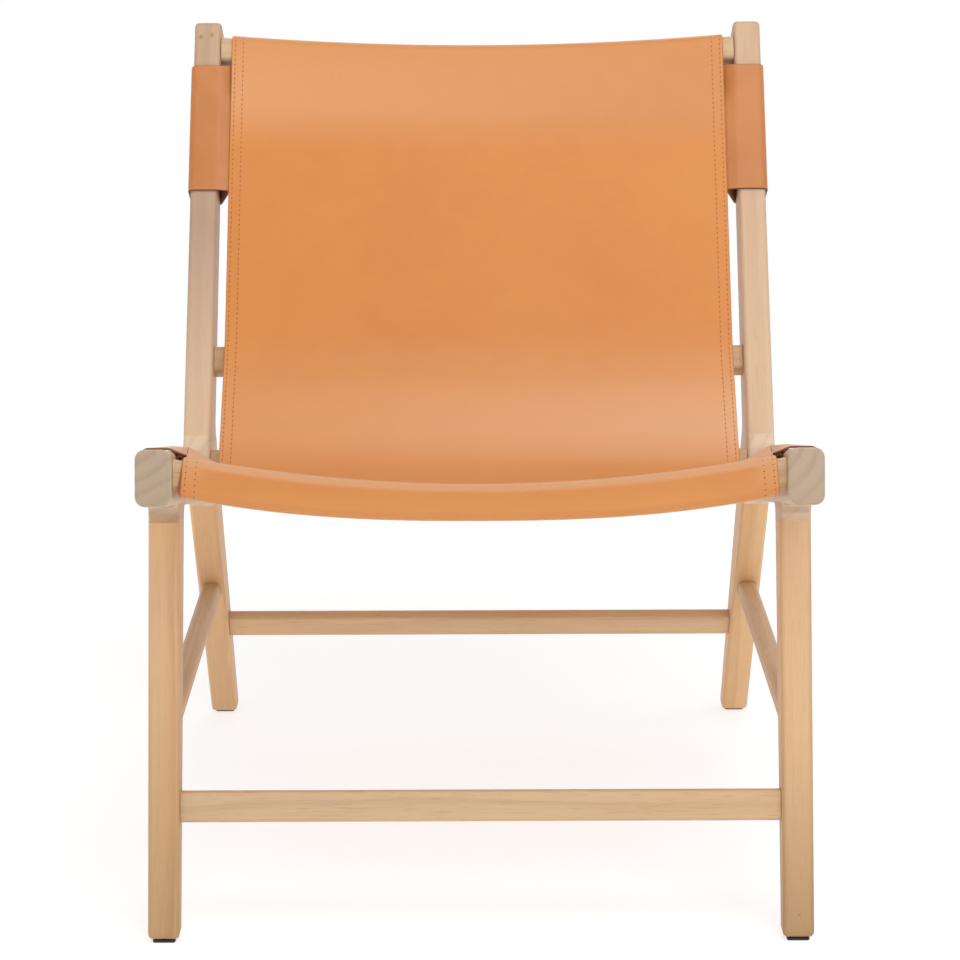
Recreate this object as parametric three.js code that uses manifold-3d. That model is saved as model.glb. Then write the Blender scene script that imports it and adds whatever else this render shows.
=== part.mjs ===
import * as THREE from 'three';
import { mergeVertices } from 'three/addons/utils/BufferGeometryUtils.js';
import Module from 'manifold-3d';

const wasm = await Module();
wasm.setup();

// Lounge chair with two sculpted wooden side frames and a hanging leather sling, in millimetres.
// The side view is drawn as [depth, height]: depth runs back from the front foot, height up from the floor.

// Main sizes
const outerHalfWidth = 310;
const memberThickness = 29.3;
const frontLegStart = 101.8;
const knuckleHeight = 416.6;
const seatDepth = 401;
const postLength = 500.2;
const rearLegLead = 56.8;

// Angles of the side frame
const seatSlopeDegrees = 14.8;
const frontLegRakeDegrees = 16.8;
const backReclineDegrees = 31;
const rearLegRakeDegrees = 30.8;

// Seat rail
const knuckleWidth = 33;
const knuckleDepth = 51.9;
const elbowRailDepth = 47;
const railRise = 2.3;
const railCornerRadius = 9;
const knuckleEdgeRadius = 2.5;
const elbowFilletRadius = 27;
const elbowRunIn = 15;
const notchFilletRadius = 15;
const rearFilletRadius = 11;
const frontFilletRadius = 13;
const frontFlare = 15.6;
const frontStubLength = 15.5;
const rearStubLength = 6;
const postJointRise = 20.5;

// Legs and back posts
const frontLegTopDepth = 44;
const frontLegFootDepth = 24;
const rearLegTopDepth = 55;
const rearLegFootDepth = 26;
const postFootDepth = 50;
const postTopDepth = 33;
const memberEdgeRadius = 4.5;
const memberCornerRadius = 5.85;

// Cross bars of the seat and the back
const frontBarDepth = 26;
const frontBarHeight = 29.3;
const frontBarInset = 12;
const frontBarLift = 28.6;
const frontBarDip = 26;
const frontBarUnderDip = 24.6;
const underDipPower = 2.5;
const frontBarRadius = 8;
const backBarDepth = 22;
const backBarHeight = 28.5;
const backBarRadius = 7;
const topBarDrop = 31.2;
const topBarInset = 0.8;
const topBarDip = 13;
const plainBarDepth = 25;
const plainBarHeight = 25;
const plainBarRadius = 6;
const midBarHeight = 29;
const midBarRise = 113.2;
const midBarInset = 23.2;
const rearBarDrop = 3.1;
const rearBarInset = 12.2;

// Stretchers
const stretcherHeight = 29.2;
const stretcherDepth = 15;
const stretcherRadius = 4;
const stretcherInset = 15.5;
const frontStretcherRise = 127.6;
const rearStretcherReach = 212.1;
const sideStretcherSize = 20;
const sideStretcherRadius = 6;
const sideStretcherRise = 182;

// Joints
const fitGap = 0.3;
const tenonLength = 18;
const sideTenonLength = 12;
const tenonShareOfBar = 0.55;
const dowelRadius = 5;
const dowelReach = 17;
const dowelChamfer = 1;
const dowelSpacing = 24;

// Foot glides and their nails
const glideWidth = 21;
const glideDepth = 15;
const glideCornerRadius = 2;
const glideThickness = 3;
const glideChamfer = 0.6;
const nailShankRadius = 1.3;
const nailHeadRadius = 3;
const nailHeadThickness = 1.2;
const nailLength = 16;
const nailRecess = 0.9;

// Leather sling
const leatherThickness = 2.5;
const leatherGap = 0.4;
const slingTopGap = 12.4;
const slingFrontGap = 8.1;
const slingTopHalfWidth = outerHalfWidth - memberThickness - slingTopGap;
const slingFrontHalfWidth = outerHalfWidth - knuckleWidth - slingFrontGap;
const slingDrop = 99.3;
const slingFlapDrop = 28;
const slingFlapLength = 26;
const slingFlapBend = 8;
const slingFlapGap = 0.6;
const slingEndLeanShare = 0.45;
const slingEndSlack = 0.6;

// Leather straps
const strapThickness = 2.2;
const backStrapTop = 54.2;
const backStrapLength = 146.1;
const backStrapTail = 44;
const seatStrapLength = 36;
const seatStrapGap = 3.4;
const seatStrapTail = 44;
const seatStrapDrop = 26;
const seatStrapRise = 2.4;
const strapBend = 3;
const seatStrapSlack = 1.3;
const tackHeadRadius = 3.6;
const tackHeadHeight = 1.4;
const tackShankRadius = 1.1;
const tackLength = 12;
const tackInset = 10;
const tackDrop = 17;

// How finely curves are drawn
const overrun = 60;
const filletSteps = 5;
const leatherSteps = 3;
const cornerSteps = 4;
const edgeSteps = 3;
const roundSteps = 16;
const barStations = 10;
const slingStations = 10;
const slingCurveSteps = 19;

// Colours
const paleWood = { color: 0xd8b088, roughness: 0.55, metalness: 0 };
const legWood = { color: 0xd9ad7f, roughness: 0.55, metalness: 0 };
const dowelWood = { color: 0xcfa777, roughness: 0.7, metalness: 0 };
const tanLeather = { color: 0xdb965f, roughness: 0.5, metalness: 0 };
const strapLeather = { color: 0xd08752, roughness: 0.52, metalness: 0 };
const blackRubber = { color: 0x16161a, roughness: 0.7, metalness: 0 };
const steel = { color: 0xb9bbbd, roughness: 0.35, metalness: 1 };

// Plane geometry of the side view
const turn = (degrees) => (degrees * Math.PI) / 180;
const heading = (degrees) => [Math.cos(turn(degrees)), Math.sin(turn(degrees))];
const squareTo = ([a, b]) => [-b, a];
const railBack = heading(-seatSlopeDegrees);
const railUp = squareTo(railBack);
const postBack = heading(-backReclineDegrees);
const postUp = squareTo(postBack);
const frontLegBack = heading(-frontLegRakeDegrees);
const frontLegUp = squareTo(frontLegBack);
const rearLegBack = heading(rearLegRakeDegrees);
const rearLegUp = squareTo(rearLegBack);
const rearLegDown = [-rearLegUp[0], -rearLegUp[1]];
const add = ([a, b], [c, d], scale = 1) => [a + c * scale, b + d * scale];
const place = (origin, axis, distance, side, offset) => add(add(origin, axis, distance), side, offset);
const dot = ([a, b], [c, d]) => a * c + b * d;
const cross = ([a, b], [c, d]) => a * d - b * c;
const minus = ([a, b], [c, d]) => [a - c, b - d];
const meet = (p, d, q, e) => add(p, d, cross(minus(q, p), e) / cross(d, e));
const toUnit = (v) => v.map((n) => n / Math.hypot(...v));

const legCornerHeight = knuckleHeight + railBack[1] * frontLegStart;
const legCornerDepth = (legCornerHeight * frontLegUp[0]) / frontLegUp[1];
const knuckleFoot = [legCornerDepth - railBack[0] * frontLegStart, knuckleHeight];
const onRail = (distance, lift) => place(knuckleFoot, railBack, distance, railUp, lift);
const railShare = (distance) => Math.min(distance / seatDepth, 1);
const railFloor = (distance) => railRise * railShare(distance);
const railDepthAt = (distance) => knuckleDepth + (elbowRailDepth - knuckleDepth) * railShare(distance);
const railWidthAt = (distance) => knuckleWidth + (memberThickness - knuckleWidth) * railShare(distance);
const elbow = onRail(seatDepth, railFloor(seatDepth) + elbowRailDepth);
const rearCorner = onRail(seatDepth + rearLegLead, railRise);
const onPost = (rise, inset) => place(elbow, postUp, rise, postBack, inset);
const onRearLeg = (reach, inset) => place(rearCorner, rearLegDown, reach, rearLegBack, inset);
const onFrontLeg = (rise, inset) => place([0, 0], frontLegUp, rise, frontLegBack, inset);
const postDepthAt = (rise) => postFootDepth + (postTopDepth - postFootDepth) * (rise / postLength);
const postBackDirection = toUnit(minus(onPost(postLength, postTopDepth), onPost(0, postFootDepth)));

// Corners rounded to arcs; a corner is { at: [depth, height], r: radius }
function roundCorners(corners, closed, steps = filletSteps) {
  const points = [];
  corners.forEach((corner, i) => {
    const before = corners[(i + corners.length - 1) % corners.length];
    const after = corners[(i + 1) % corners.length];
    if (!corner.r || (!closed && (i === 0 || i === corners.length - 1))) {
      points.push(corner.at);
      return;
    }
    const toBefore = toUnit(minus(before.at, corner.at));
    const toAfter = toUnit(minus(after.at, corner.at));
    const half = Math.acos(THREE.MathUtils.clamp(dot(toBefore, toAfter), -1, 1)) / 2;
    const centre = add(corner.at, toUnit(add(toBefore, toAfter)), corner.r / Math.sin(half));
    const start = add(corner.at, toBefore, corner.r / Math.tan(half));
    const sweep = (Math.PI - 2 * half) * -Math.sign(cross(toBefore, toAfter));
    const radial = minus(start, centre);
    for (let k = 0; k <= steps; k += 1) {
      const angle = (sweep * k) / steps;
      const turned = [
        radial[0] * Math.cos(angle) - radial[1] * Math.sin(angle),
        radial[0] * Math.sin(angle) + radial[1] * Math.cos(angle),
      ];
      points.push(add(centre, turned));
    }
  });
  return points;
}

function roundedRect(width, height, radius) {
  const points = [];
  [[1, 1], [-1, 1], [-1, -1], [1, -1]].forEach(([sx, sy], quarter) => {
    for (let k = 0; k <= cornerSteps; k += 1) {
      const angle = (Math.PI / 2) * (quarter + k / cornerSteps);
      points.push([
        sx * (width / 2 - radius) + radius * Math.cos(angle),
        sy * (height / 2 - radius) + radius * Math.sin(angle),
      ]);
    }
  });
  return points;
}

// Solids
function toSolid(geometry) {
  const bare = geometry.clone();
  bare.deleteAttribute('normal');
  bare.deleteAttribute('uv');
  const welded = mergeVertices(bare, 1e-4);
  return new wasm.Manifold(new wasm.Mesh({
    numProp: 3,
    vertProperties: new Float32Array(welded.attributes.position.array),
    triVerts: new Uint32Array(welded.index.array),
  }));
}

function toGeometry(solid) {
  const mesh = solid.getMesh();
  const geometry = new THREE.BufferGeometry();
  geometry.setAttribute('position', new THREE.BufferAttribute(new Float32Array(mesh.vertProperties), 3));
  geometry.setIndex(new THREE.BufferAttribute(new Uint32Array(mesh.triVerts), 1));
  return geometry;
}

// A side outline given thickness across the chair, with its long edges rounded
function slab(outline, inner, outer, edge) {
  const shape = new THREE.Shape(outline.map(([u, z]) => new THREE.Vector2(u, z)));
  const geometry = new THREE.ExtrudeGeometry(shape, {
    depth: outer - inner - 2 * edge,
    bevelEnabled: edge > 0,
    bevelThickness: edge,
    bevelSize: edge,
    bevelOffset: -edge,
    bevelSegments: edgeSteps,
  });
  geometry.translate(0, 0, inner + edge);
  geometry.applyMatrix4(new THREE.Matrix4().set(0, 0, 1, 0, 1, 0, 0, 0, 0, 1, 0, 0, 0, 0, 0, 1));
  return toSolid(geometry);
}

// A closed body through equal rings of [x, depth, height] points
function loft(rings) {
  const count = rings[0].length;
  const last = (rings.length - 1) * count;
  const vector = (p) => new THREE.Vector3(...p);
  const normal = new THREE.Vector3();
  const travel = new THREE.Vector3();
  rings[0].forEach((p, k) => {
    normal.add(vector(p).cross(vector(rings[0][(k + 1) % count])));
    travel.add(vector(rings[rings.length - 1][k]).sub(vector(p)));
  });
  const sizes = normal.toArray().map(Math.abs);
  const dropped = sizes.indexOf(Math.max(...sizes));
  const flat = rings[0].map((p) => new THREE.Vector2(...p.filter((_, axis) => axis !== dropped)));
  const index = [];
  for (let r = 0; r < rings.length - 1; r += 1) {
    for (let k = 0; k < count; k += 1) {
      const [a, b] = [r * count + k, r * count + ((k + 1) % count)];
      index.push(a, b, b + count, a, b + count, a + count);
    }
  }
  THREE.ShapeUtils.triangulateShape(flat, []).forEach(([a, b, c]) => {
    const [p, q, t] = [a, b, c].map((k) => vector(rings[0][k]));
    const along = q.sub(p).cross(t.sub(p)).dot(normal) > 0;
    index.push(a, along ? c : b, along ? b : c);
    index.push(last + a, last + (along ? b : c), last + (along ? c : b));
  });
  if (travel.dot(normal) < 0) index.reverse();
  const geometry = new THREE.BufferGeometry();
  geometry.setAttribute('position', new THREE.Float32BufferAttribute(rings.flat(2), 3));
  geometry.setIndex(index);
  return toSolid(geometry);
}

const ringAcross = (x, at, back, up, outline) =>
  outline.map(([a, b]) => [x, ...place(at, back, a, up, b)]);
const circle = (radius) => Array.from({ length: roundSteps }, (_, k) => {
  const angle = (2 * Math.PI * k) / roundSteps;
  return [radius * Math.cos(angle), radius * Math.sin(angle)];
});

// Turned pieces: stages are [distance, radius] along a direction in the side plane
function turned(x, at, direction, stages) {
  const across = [direction[1], -direction[0]];
  return loft(stages.map(([distance, radius]) => circle(radius).map(([a, b]) => {
    const [u, z] = place(at, direction, distance, across, b);
    return [x + a, u, z];
  })));
}

// A block reaching away from a joint line, used to trim an end square to that line
function trimBlock(at, lineDirection, away) {
  const corners = [
    add(at, lineDirection, -overrun),
    add(at, lineDirection, overrun),
    place(at, lineDirection, overrun, away, overrun),
    place(at, lineDirection, -overrun, away, overrun),
  ];
  return slab(corners, outerHalfWidth - knuckleWidth - overrun, outerHalfWidth + overrun, 0);
}

const cutFrom = (body, cutters) => cutters.reduce((rest, cutter) => rest.subtract(cutter), body);

// Joint lines between the rail and its leg, post and rear leg
const frontLegCorner = onRail(frontLegStart, 0);
const frontJoint = {
  at: add(frontLegCorner, frontLegUp, -frontStubLength),
  line: frontLegBack,
  up: frontLegUp,
  depth: frontLegTopDepth,
};
const frontJointRise = dot(frontJoint.at, frontLegUp);
const postJoint = {
  at: add(elbow, postUp, postJointRise / postUp[1]),
  line: [1, 0],
  up: postUp,
  depth: postFootDepth / postBack[0],
};
const rearJoint = {
  at: add(rearCorner, rearLegDown, rearStubLength),
  line: rearLegBack,
  up: rearLegUp,
  depth: rearLegTopDepth,
};
const joints = { front: frontJoint, post: postJoint, rear: rearJoint };
const memberInner = outerHalfWidth - memberThickness;
const memberCentre = outerHalfWidth - memberThickness / 2;

function dowelsOf(joint, grow) {
  const reach = dowelReach + grow;
  const radius = dowelRadius + grow;
  return [-1, 1].map((sign) => {
    const at = add(joint.at, joint.line, joint.depth / 2 + (sign * dowelSpacing) / 2);
    return turned(memberCentre, at, joint.up, [
      [-reach, radius - dowelChamfer],
      [-reach + dowelChamfer, radius],
      [reach - dowelChamfer, radius],
      [reach, radius - dowelChamfer],
    ]);
  });
}
const trimAbove = (joint) => trimBlock(add(joint.at, joint.up, -fitGap / 2), joint.line, joint.up);
const trimBelow = (joint) => {
  const down = [-joint.up[0], -joint.up[1]];
  return trimBlock(add(joint.at, joint.up, fitGap / 2), joint.line, down);
};

// Cross bars with a tenon at each end
function tenonSection(bar, grow) {
  const [depth, height] = [bar.depth * tenonShareOfBar, bar.height * tenonShareOfBar];
  return roundedRect(depth + 2 * grow, height + 2 * grow, bar.radius * tenonShareOfBar);
}
const dipAt = (x, dip, halfSpan, power = 2) => dip * (1 - Math.abs(x / halfSpan) ** power);

// How a dipping bar lies at one place across the chair: its middle's fall and its height there
function sagAt(bar, x) {
  const above = dipAt(x, bar.dip, bar.halfSpan);
  const under = bar.underDip ? dipAt(x, bar.underDip, bar.halfSpan, underDipPower) : above;
  return { fall: (above + under) / 2, height: bar.height - above + under };
}

function crossBar(bar) {
  const rings = [];
  const end = bar.halfSpan + tenonLength;
  rings.push(ringAcross(-end, bar.at, bar.back, bar.up, tenonSection(bar, 0)));
  rings.push(ringAcross(-bar.halfSpan, bar.at, bar.back, bar.up, tenonSection(bar, 0)));
  const steps = bar.dip ? barStations : 1;
  for (let k = 0; k <= steps; k += 1) {
    const x = -bar.halfSpan + (2 * bar.halfSpan * k) / steps;
    const sag = sagAt(bar, x);
    const at = add(bar.at, bar.up, -sag.fall);
    rings.push(ringAcross(x, at, bar.back, bar.up, roundedRect(bar.depth, sag.height, bar.radius)));
  }
  rings.push(ringAcross(bar.halfSpan, bar.at, bar.back, bar.up, tenonSection(bar, 0)));
  rings.push(ringAcross(end, bar.at, bar.back, bar.up, tenonSection(bar, 0)));
  return loft(rings);
}

function mortiseFor(bar) {
  const bottom = bar.halfSpan + tenonLength + fitGap;
  return loft([
    ringAcross(bar.halfSpan - overrun, bar.at, bar.back, bar.up, tenonSection(bar, fitGap)),
    ringAcross(bottom, bar.at, bar.back, bar.up, tenonSection(bar, fitGap)),
  ]);
}

const frontBarReach = frontBarInset + frontBarDepth / 2;
const crossBars = {
  front_seat_bar: {
    at: onRail(frontBarReach, frontBarLift),
    back: railBack,
    up: railUp,
    depth: frontBarDepth,
    height: frontBarHeight,
    radius: frontBarRadius,
    halfSpan: outerHalfWidth - railWidthAt(frontBarReach) - fitGap,
    dip: frontBarDip,
    underDip: frontBarUnderDip,
  },
  top_back_bar: {
    at: onPost(postLength - topBarDrop, topBarInset + backBarDepth / 2),
    back: postBack,
    up: postUp,
    depth: backBarDepth,
    height: backBarHeight,
    radius: backBarRadius,
    halfSpan: memberInner - fitGap,
    dip: topBarDip,
  },
  mid_back_bar: {
    at: onPost(midBarRise, midBarInset),
    back: postBack,
    up: postUp,
    depth: plainBarDepth,
    height: midBarHeight,
    radius: plainBarRadius,
    halfSpan: memberInner - fitGap,
    dip: 0,
  },
  rear_seat_bar: {
    at: onPost(-rearBarDrop, rearBarInset),
    back: postBack,
    up: postUp,
    depth: plainBarDepth,
    height: plainBarHeight,
    radius: plainBarRadius,
    halfSpan: memberInner - fitGap,
    dip: 0,
  },
  front_stretcher: {
    at: onFrontLeg(frontStretcherRise, stretcherInset),
    back: frontLegBack,
    up: frontLegUp,
    depth: stretcherDepth,
    height: stretcherHeight,
    radius: stretcherRadius,
    halfSpan: memberInner - fitGap,
    dip: 0,
  },
  rear_stretcher: {
    at: onRearLeg(rearStretcherReach, stretcherInset),
    back: rearLegBack,
    up: rearLegUp,
    depth: stretcherDepth,
    height: stretcherHeight,
    radius: stretcherRadius,
    halfSpan: memberInner - fitGap,
    dip: 0,
  },
};

// Side stretcher, shouldered to the slant of the two legs
const footHeight = glideThickness + fitGap;
const rearLegLength = (rearCorner[1] - footHeight) / -rearLegDown[1];
const frontLegBackFoot = onFrontLeg(0, frontLegFootDepth);
const frontLegBackTop = onFrontLeg(frontJointRise, frontLegTopDepth);
const rearLegBackTop = onRearLeg(rearStubLength, rearLegTopDepth);
const rearLegBackFoot = onRearLeg(rearLegLength, rearLegFootDepth);
const lineAt = (p, q, height) => p[0] + ((q[0] - p[0]) * (height - p[1])) / (q[1] - p[1]);
const frontFaceBehind = (height) => lineAt(frontLegBackFoot, frontLegBackTop, height) + fitGap;
const rearFaceAhead = (height) => lineAt(rearCorner, onRearLeg(rearLegLength, 0), height) - fitGap;

function sideStretcher(grow, lengthen) {
  const full = roundedRect(sideStretcherSize, sideStretcherSize, sideStretcherRadius);
  const size = sideStretcherSize * tenonShareOfBar + 2 * grow;
  const small = roundedRect(size, size, sideStretcherRadius * tenonShareOfBar);
  const ring = (outline, depthAt) => outline.map(([a, b]) => {
    const height = sideStretcherRise + b;
    return [memberCentre + a, depthAt(height), height];
  });
  const reach = sideTenonLength + lengthen;
  const rings = [
    ring(small, (height) => frontFaceBehind(height) - reach),
    ring(small, (height) => frontFaceBehind(height)),
    ring(full, (height) => frontFaceBehind(height)),
    ring(full, (height) => rearFaceAhead(height)),
    ring(small, (height) => rearFaceAhead(height)),
    ring(small, (height) => rearFaceAhead(height) + reach),
  ];
  return grow ? loft([rings[0], rings[5]]) : loft(rings);
}

// Seat rail: a tapering bar with carved stubs for the front leg, the back post and the rear leg
const elbowStart = seatDepth - elbowFilletRadius - elbowRunIn;

function railBar() {
  const ring = (distance, inset) => {
    const share = railShare(distance);
    const width = railWidthAt(distance);
    const depth = railDepthAt(distance);
    const radius = railCornerRadius + (memberEdgeRadius - railCornerRadius) * share;
    const at = onRail(distance, railFloor(distance) + depth / 2);
    const outline = roundedRect(width - 2 * inset, depth - 2 * inset, radius - inset);
    return outline.map(([a, b]) => [outerHalfWidth - width / 2 + a, ...add(at, railUp, b)]);
  };
  const rings = [];
  for (let k = 0; k <= edgeSteps; k += 1) {
    const angle = (Math.PI / 2) * (k / edgeSteps);
    const [c, s] = [Math.cos(angle), Math.sin(angle)];
    rings.push(ring(knuckleEdgeRadius * (1 - c), knuckleEdgeRadius * (1 - s)));
  }
  rings.push(ring(elbowStart + memberEdgeRadius + fitGap, 0));
  rings.push(ring(elbowStart + 2 * memberEdgeRadius, fitGap * 3));
  return loft(rings);
}

function frontStub() {
  const backCorner = meet(onRail(0, 0), railBack, frontLegBackFoot, minus(frontLegBackTop, frontLegBackFoot));
  const low = frontJointRise - overrun / 2;
  const lowDepth = frontLegFootDepth + (frontLegTopDepth - frontLegFootDepth) * (low / frontJointRise);
  return slab(roundCorners([
    { at: onFrontLeg(low, 0) },
    { at: frontLegCorner, r: frontFilletRadius },
    { at: add(frontLegCorner, railBack, -frontFlare) },
    { at: place(frontLegCorner, railBack, -frontFlare, railUp, knuckleDepth / 2) },
    { at: place(backCorner, railBack, frontFlare, railUp, knuckleDepth / 2) },
    { at: add(backCorner, railBack, frontFlare) },
    { at: backCorner, r: frontFilletRadius },
    { at: onFrontLeg(low, lowDepth) },
  ], true), memberInner, outerHalfWidth, memberEdgeRadius);
}

function elbowBlock() {
  const notch = meet(
    onPost(0, postFootDepth),
    postBackDirection,
    rearLegBackTop,
    minus(rearLegBackFoot, rearLegBackTop),
  );
  const high = postJointRise + overrun;
  const low = rearStubLength + overrun / 2;
  const lowShare = (low - rearStubLength) / (rearLegLength - rearStubLength);
  const lowDepth = rearLegTopDepth + (rearLegFootDepth - rearLegTopDepth) * lowShare;
  return slab(roundCorners([
    { at: onRail(elbowStart, railFloor(elbowStart)) },
    { at: rearCorner, r: rearFilletRadius },
    { at: onRearLeg(low, 0) },
    { at: onRearLeg(low, lowDepth) },
    { at: notch, r: notchFilletRadius },
    { at: onPost(high, postDepthAt(high)) },
    { at: onPost(high, 0) },
    { at: elbow, r: elbowFilletRadius },
    { at: onRail(elbowStart, railFloor(elbowStart) + railDepthAt(elbowStart)) },
  ], true), memberInner, outerHalfWidth, memberEdgeRadius);
}

function seatRail(tacks) {
  const raised = (joint) => ({ ...joint, at: add(joint.at, joint.up, fitGap / 2) });
  const stub = cutFrom(frontStub(), [trimBelow(raised(frontJoint))]);
  const block = cutFrom(elbowBlock(), [trimAbove(postJoint), trimBelow(raised(rearJoint))]);
  const whole = railBar().add(stub).add(block);
  const holes = Object.values(joints).flatMap((joint) => dowelsOf(joint, fitGap));
  const mortises = [crossBars.front_seat_bar, crossBars.rear_seat_bar].map(mortiseFor);
  return cutFrom(whole, [...holes, ...mortises, ...tacks]);
}

// Legs and posts
const nailHole = (at) => turned(memberCentre, at, [0, 1], [
  [nailRecess, nailShankRadius + fitGap],
  [nailRecess + nailLength + fitGap, nailShankRadius + fitGap],
]);

function frontLeg() {
  const tall = frontJointRise + overrun / 2;
  const tallDepth = frontLegFootDepth + (frontLegTopDepth - frontLegFootDepth) * (tall / frontJointRise);
  const body = slab(roundCorners([
    { at: [lineAt([0, 0], frontLegCorner, footHeight), footHeight], r: memberCornerRadius },
    { at: [lineAt(frontLegBackFoot, frontLegBackTop, footHeight), footHeight], r: memberCornerRadius },
    { at: onFrontLeg(tall, tallDepth) },
    { at: onFrontLeg(tall, 0) },
  ], true), memberInner, outerHalfWidth, memberEdgeRadius);
  return cutFrom(body, [
    trimAbove(frontJoint),
    ...dowelsOf(frontJoint, fitGap),
    mortiseFor(crossBars.front_stretcher),
    sideStretcher(fitGap, fitGap),
    nailHole([frontFootCentre, 0]),
  ]);
}

function rearLeg() {
  const high = rearStubLength - overrun / 2;
  const body = slab(roundCorners([
    { at: onRearLeg(high, 0) },
    { at: [lineAt(rearCorner, onRearLeg(rearLegLength, 0), footHeight), footHeight], r: memberCornerRadius },
    { at: [lineAt(rearLegBackTop, rearLegBackFoot, footHeight), footHeight], r: memberCornerRadius },
    { at: add(rearLegBackTop, rearLegDown, -overrun / 2) },
  ], true), memberInner, outerHalfWidth, memberEdgeRadius);
  return cutFrom(body, [
    trimAbove(rearJoint),
    ...dowelsOf(rearJoint, fitGap),
    mortiseFor(crossBars.rear_stretcher),
    sideStretcher(fitGap, fitGap),
    nailHole([rearFootCentre, 0]),
  ]);
}

function backPost() {
  const body = slab(roundCorners([
    { at: onPost(0, 0) },
    { at: onPost(0, postFootDepth) },
    { at: onPost(postLength, postTopDepth), r: memberCornerRadius },
    { at: onPost(postLength, 0), r: memberCornerRadius },
  ], true), memberInner, outerHalfWidth, memberEdgeRadius);
  return cutFrom(body, [
    trimBelow(postJoint),
    ...dowelsOf(postJoint, fitGap),
    mortiseFor(crossBars.top_back_bar),
    mortiseFor(crossBars.mid_back_bar),
  ]);
}

// Glides under the feet
const frontFootMiddle = frontLegFootDepth / frontLegBack[0] / 2;
const rearFootMiddle = rearLegFootDepth / rearLegBack[0] / 2;
const frontFootCentre = lineAt([0, 0], frontLegCorner, footHeight) + frontFootMiddle;
const rearFootCentre = lineAt(rearCorner, onRearLeg(rearLegLength, 0), footHeight) + rearFootMiddle;
const upright = [0, 1];

function nail(at, grow) {
  return turned(memberCentre, at, upright, [
    [nailRecess - (grow ? overrun : 0), nailHeadRadius + grow],
    [nailRecess + nailHeadThickness + grow, nailHeadRadius + grow],
    [nailRecess + nailHeadThickness + grow, nailShankRadius + grow],
    [nailLength, nailShankRadius + grow],
    [nailRecess + nailLength, (nailShankRadius + grow) / 3],
  ]);
}

function glide(at) {
  const plate = [
    [0, glideChamfer],
    [glideChamfer, 0],
    [glideThickness - glideChamfer, 0],
    [glideThickness, glideChamfer],
  ].map(([height, inset]) => {
    const outline = roundedRect(glideWidth - 2 * inset, glideDepth - 2 * inset, glideCornerRadius - inset);
    return outline.map(([a, b]) => [memberCentre + a, at[0] + b, at[1] + height]);
  });
  return loft(plate).subtract(nail(at, fitGap));
}

// Leather sling: one panel wrapped round the top bar and the front bar, each end turned in as a flap
const wrapGap = leatherGap + leatherThickness / 2;
const layerStep = leatherThickness + slingFlapGap;
const seatCurveShares = [
  [0.12, 0.32, 0.78],
  [0.27, 0.6, 0.3],
  [0.41, 0.8, 0],
  [0.55, 0.95, 0],
  [0.65, 1, 0],
  [0.73, 0.91, 0],
  [0.79, 0.68, 0],
  [0.9, 0.22, 0],
];
const edgeHoldPower = 6;
const lowestShare = 0.65;
const seatEndRise = 132;
const topBar = crossBars.top_back_bar;
const frontBar = crossBars.front_seat_bar;
const panelInset = topBarInset - wrapGap;

// Centre line of the leather at one place across the chair
function slingPath(x) {
  const topDip = dipAt(x, topBarDip, topBar.halfSpan);
  const frontDip = dipAt(x, frontBarDip, frontBar.halfSpan);
  const frontSag = sagAt(frontBar, x);
  const across = Math.abs(x) / slingFrontHalfWidth;
  const looseGap = wrapGap + slingEndSlack * across ** 2;
  const topAt = add(topBar.at, postUp, -topDip);
  const frontAt = add(frontBar.at, railUp, -frontSag.fall);
  const [topA, topB] = [backBarDepth / 2 + wrapGap, backBarHeight / 2 + wrapGap];
  const [frontA, frontB] = [frontBarDepth / 2 + looseGap, frontSag.height / 2 + looseGap];
  const nearTop = (a, b) => place(topAt, postBack, a, postUp, b);
  const nearFront = (a, b) => place(frontAt, railBack, a, railUp, b);
  const seatStart = nearFront(frontA, frontB);
  const seatEnd = onPost(seatEndRise, panelInset);
  const levelStart = place(frontBar.at, railBack, frontA, railUp, frontBarHeight / 2 + looseGap);
  const controls = [seatStart];
  seatCurveShares.forEach(([depthShare, dropShare, holdShare]) => {
    const fade = Math.max(0, 1 - depthShare / lowestShare) ** 1.5;
    const depth = levelStart[0] + depthShare * (seatEnd[0] - levelStart[0]);
    const drop = dropShare * slingDrop * (1 - holdShare * across ** edgeHoldPower);
    controls.push([depth, levelStart[1] - drop - frontDip * fade]);
  });
  controls.push(seatEnd, add(seatEnd, minus(nearTop(-topA, topB), seatEnd), 0.5), nearTop(-topA, topB));
  const curve = new THREE.SplineCurve(controls.map(([u, z]) => new THREE.Vector2(u, z)));
  const panel = curve.getPoints(slingCurveSteps).map((p) => [p.x, p.y]);
  const under = (k) => {
    const direction = toUnit(minus(panel[k + 1], panel[k - 1]));
    return add(panel[k], [direction[1], -direction[0]], layerStep);
  };
  const flapLine = minus(under(2), under(1));
  const flapCorner = meet(nearFront(frontA, -frontB), railUp, under(1), flapLine);
  const corners = [
    { at: add(under(1), toUnit(flapLine), slingFlapLength) },
    { at: flapCorner, r: slingFlapBend / 2 },
    { at: nearFront(frontA, -frontB), r: frontBarRadius },
    { at: nearFront(-frontA, -frontB), r: frontBarRadius },
    { at: nearFront(-frontA, frontB), r: frontBarRadius + wrapGap },
    { at: seatStart, r: frontBarRadius },
    ...panel.slice(1, -1).map((at) => ({ at })),
    { at: nearTop(-topA, topB), r: backBarRadius + wrapGap },
    { at: nearTop(topA, topB), r: backBarRadius + wrapGap },
    { at: nearTop(topA, -topB), r: backBarRadius },
    { at: nearTop(layerStep - topA, -topB), r: slingFlapBend / 2 },
    { at: nearTop(layerStep - topA, -topB - slingFlapDrop) },
  ];
  const lowest = [levelStart[0] + lowestShare * (seatEnd[0] - levelStart[0]), levelStart[1] - slingDrop];
  return { points: roundCorners(corners, false, leatherSteps), panel, frontAt, lowest };
}

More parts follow.
